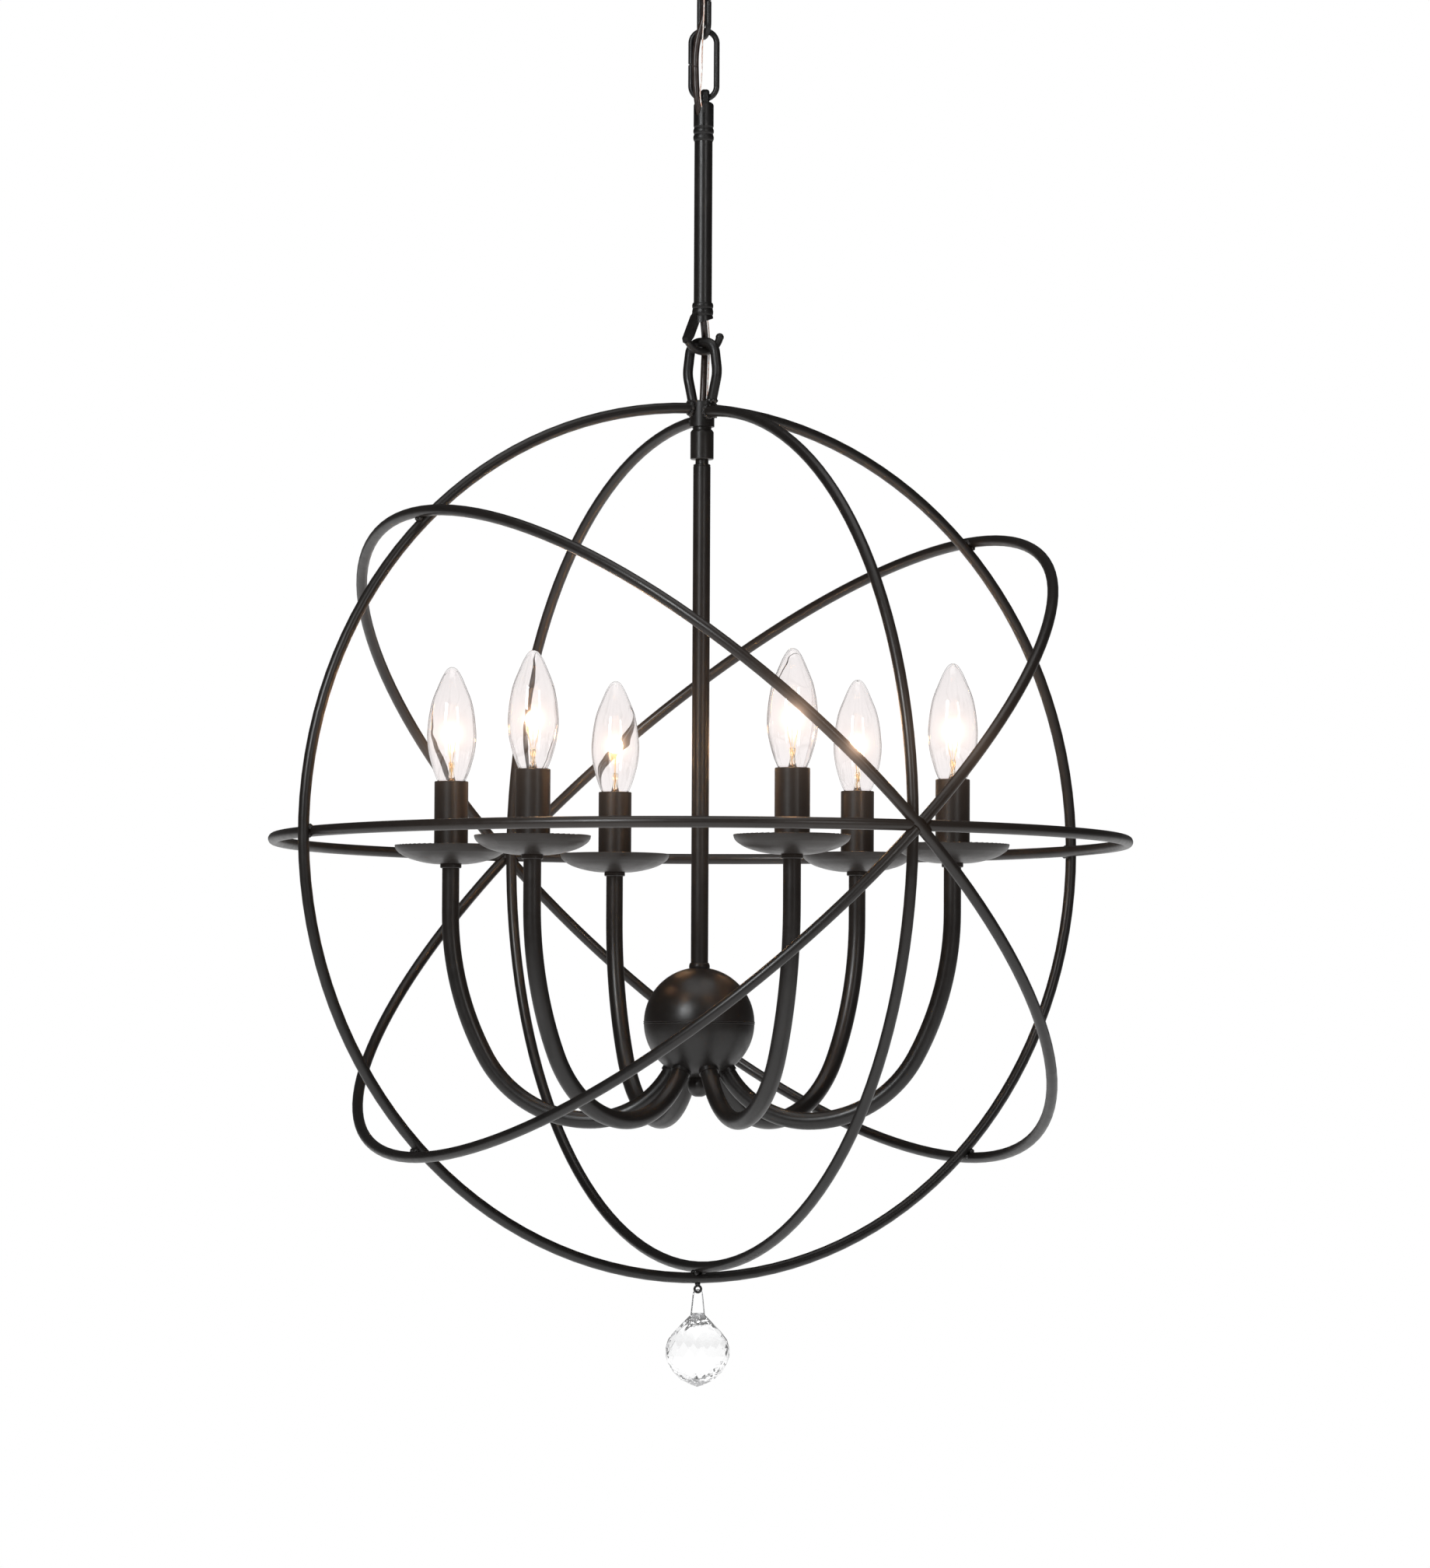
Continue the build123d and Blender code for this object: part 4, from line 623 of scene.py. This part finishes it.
# hub: the rings' ends and the hanger loop's legs
for k, az in enumerate((28.3, 118.3, 208.3, 298.3)):
    a = math.radians(az)
    d = Vector((math.cos(a), math.sin(a), 0))
    w = Vector((-math.sin(a), math.cos(a), 0))
    z = (317.4, 309.6, 317.4, 315.0)[k] / 1000 + ORB
    c = d * 0.0098 + Vector((0, 0, z))
    spots = []
    for q in (15, 47, 85, 118, 152, 190, 221, 262, 290, 327):
        b = math.radians(q + 14 * noise.noise(Vector((q * 0.37, k, 0.5))))
        far = 0.0040 + 0.0005 * noise.noise(Vector((q * 0.21, k + 0.7, 2.5)))
        spots.append(w * far * math.cos(b) + up * far * math.sin(b) + d * 0.0008 * noise.noise(Vector((q * 0.3, k, 1.5))))
    weld(f"weld_hub_{k + 1}", c, spots, 0.0021, seed)
    seed += 11.3
loop_az = math.radians(-35)
lx = Vector((math.cos(loop_az), math.sin(loop_az), 0))
ly = Vector((-math.sin(loop_az), math.cos(loop_az), 0))
for side, label in ((1, "right"), (-1, "left")):
    c = lx * side * 0.0080 + Vector((0, 0, 0.3232 + ORB))
    spots = []
    for q in range(0, 360, 36):
        b = math.radians(q + 12 * noise.noise(Vector((q * 0.31, side, 1.5))))
        spots.append((lx * math.cos(b) + ly * math.sin(b)) * (0.0036 + 0.0006 * noise.noise(Vector((q * 0.11, side, 0.5)))))
    weld(f"weld_loop_{label}", c, spots, 0.0020, seed)
    seed += 11.3
# the crystal's eyelet under the outer ring
weld("weld_eyelet", centre - up * 0.3224, [Vector((0.001, 0, 0)), Vector((-0.001, 0.0003, 0)), Vector((0, 0.0011, 0.0002)), Vector((0, -0.001, 0))], 0.0012, seed)

# rolled seam round the ball
parts = []
for h, r in ((-131.75, 40.5), (-132.95, 40.5)):
    parts.append(tube_data([pt(r * math.cos(2 * math.pi * k / 128), r * math.sin(2 * math.pi * k / 128), h) for k in range(128)], 0.00036, 8, closed=True))
obj = joined("ball_seam", parts)
dress(obj, BLACK)
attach(obj, "orb")

# ---------------------------------------------------------------------------
# Studio: white surroundings, pale floor, soft boxes, the lamps' own light
# ---------------------------------------------------------------------------
floor = mesh_object("floor", [(7 * math.cos(2 * math.pi * k / 96), 7 * math.sin(2 * math.pi * k / 96), -2.4) for k in range(96)], [tuple(range(96))], smooth=False)
FLOOR, tree, bsdf, co = new_material("floor_paint")
tree.links.new(ramp(tree, noise_node(tree, co, 1.5, 3), [(0.3, (0.86, 0.86, 0.86)), (0.7, (0.90, 0.90, 0.90))]), bsdf.inputs["Base Color"])
bsdf.inputs["Roughness"].default_value = 0.7
bsdf.inputs["Emission Color"].default_value = (1, 1, 1, 1)
bsdf.inputs["Emission Strength"].default_value = 0.8
dress(floor, FLOOR)

world = bpy.data.worlds.new("studio")
scene.world = world
world.use_nodes = True
tree = world.node_tree
tree.nodes.clear()
out = tree.nodes.new("ShaderNodeOutputWorld")
path = tree.nodes.new("ShaderNodeLightPath")
coords = tree.nodes.new("ShaderNodeTexCoord")
split = tree.nodes.new("ShaderNodeSeparateXYZ")
tree.links.new(coords.outputs["Generated"], split.inputs[0])


def surroundings(weights, stops):
    """A background whose brightness follows a weighted sum of a ray's y and z."""
    total = tree.nodes.new("ShaderNodeMath")
    total.operation = "MULTIPLY"
    total.inputs[1].default_value = weights[0]
    tree.links.new(split.outputs["Y"], total.inputs[0])
    more = tree.nodes.new("ShaderNodeMath")
    more.operation = "MULTIPLY_ADD"
    more.inputs[1].default_value = weights[1]
    tree.links.new(split.outputs["Z"], more.inputs[0])
    tree.links.new(total.outputs[0], more.inputs[2])
    half = tree.nodes.new("ShaderNodeMapRange")
    half.inputs["From Min"].default_value, half.inputs["From Max"].default_value = -1.0, 1.0
    tree.links.new(more.outputs[0], half.inputs["Value"])
    node = tree.nodes.new("ShaderNodeValToRGB")
    while len(node.color_ramp.elements) < len(stops):
        node.color_ramp.elements.new(0.5)
    for e, (pos, col) in zip(node.color_ramp.elements, stops):
        e.position, e.color = pos, (*col, 1)
    tree.links.new(half.outputs[0], node.inputs[0])
    background = tree.nodes.new("ShaderNodeBackground")
    tree.links.new(node.outputs[0], background.inputs["Color"])
    return background.outputs[0]


plain = tree.nodes.new("ShaderNodeBackground")
plain.inputs["Color"].default_value = (1, 1, 1, 1)
mirrored = surroundings((0.45, -0.90), [(0.0, (0.05, 0.05, 0.05)), (0.55, (0.045, 0.045, 0.045)), (0.68, (0.12, 0.12, 0.12)), (0.80, (1.0, 1.0, 1.0)), (1.0, (1.9, 1.9, 1.9))])
through = surroundings((1.0, -0.15), [(0.0, (0.22, 0.22, 0.225)), (0.30, (0.42, 0.42, 0.43)), (0.48, (0.80, 0.80, 0.81)), (0.60, (1.0, 1.0, 1.0)), (1.0, (1.0, 1.0, 1.0))])
first = tree.nodes.new("ShaderNodeMixShader")
tree.links.new(path.outputs["Is Transmission Ray"], first.inputs[0])
tree.links.new(mirrored, first.inputs[1])
tree.links.new(through, first.inputs[2])
second = tree.nodes.new("ShaderNodeMixShader")
tree.links.new(path.outputs["Is Camera Ray"], second.inputs[0])
tree.links.new(first.outputs[0], second.inputs[1])
tree.links.new(plain.outputs[0], second.inputs[2])
tree.links.new(second.outputs[0], out.inputs[0])


def softbox(name, at, look, size, power, colour=(1, 1, 1)):
    data = bpy.data.lights.new(name, "AREA")
    data.shape = "RECTANGLE"
    data.size, data.size_y = size
    data.energy = power
    data.color = colour
    obj = bpy.data.objects.new(name, data)
    scene.collection.objects.link(obj)
    obj.location = at
    obj.rotation_euler = (Vector(look) - Vector(at)).to_track_quat("-Z", "Y").to_euler()
    obj.visible_camera = False
    return obj


softbox("key", (-1.9, -3.1, 0.85), (0, 0, -0.8), (0.8, 1.2), 85, (0.95, 0.98, 1.0))
softbox("fill", (1.9, -3.2, 0.4), (0, 0, -0.8), (0.7, 1.6), 20)
softbox("top", (0, -0.4, 1.8), (0, 0, -0.8), (2.2, 2.2), 22)
for i in range(6):
    az = math.radians(-9.5 + 60 * i)
    data = bpy.data.lights.new(f"lamp_glow_{i + 1}", "POINT")
    data.energy = 0.10
    data.color = (1.0, 0.50, 0.20)
    data.shadow_soft_size = 0.006
    obj = bpy.data.objects.new(f"lamp_glow_{i + 1}", data)
    scene.collection.objects.link(obj)
    obj.location = pt(LIGHT_R * math.cos(az), LIGHT_R * math.sin(az), 80)
    obj.visible_camera = False
    obj.parent = frame["bodies"][f"lamp_{i + 1}"]

scene.view_settings.view_transform = "Standard"
scene.view_settings.look = "None"

# soft glow round the lit filaments
scene.use_nodes = True
tree = scene.node_tree
tree.nodes.clear()
layers = tree.nodes.new("CompositorNodeRLayers")
glare = tree.nodes.new("CompositorNodeGlare")
result = tree.nodes.new("CompositorNodeComposite")
try:
    glare.glare_type = "BLOOM"
except TypeError:
    glare.glare_type = "FOG_GLOW"
for key, value in (("Threshold", 1.6), ("Maximum", 60.0), ("Strength", 0.75), ("Size", 0.42), ("Saturation", 0.7)):
    if key in glare.inputs:
        glare.inputs[key].default_value = value
tree.links.new(layers.outputs["Image"], glare.inputs["Image"])
tree.links.new(glare.outputs["Image"], result.inputs["Image"])
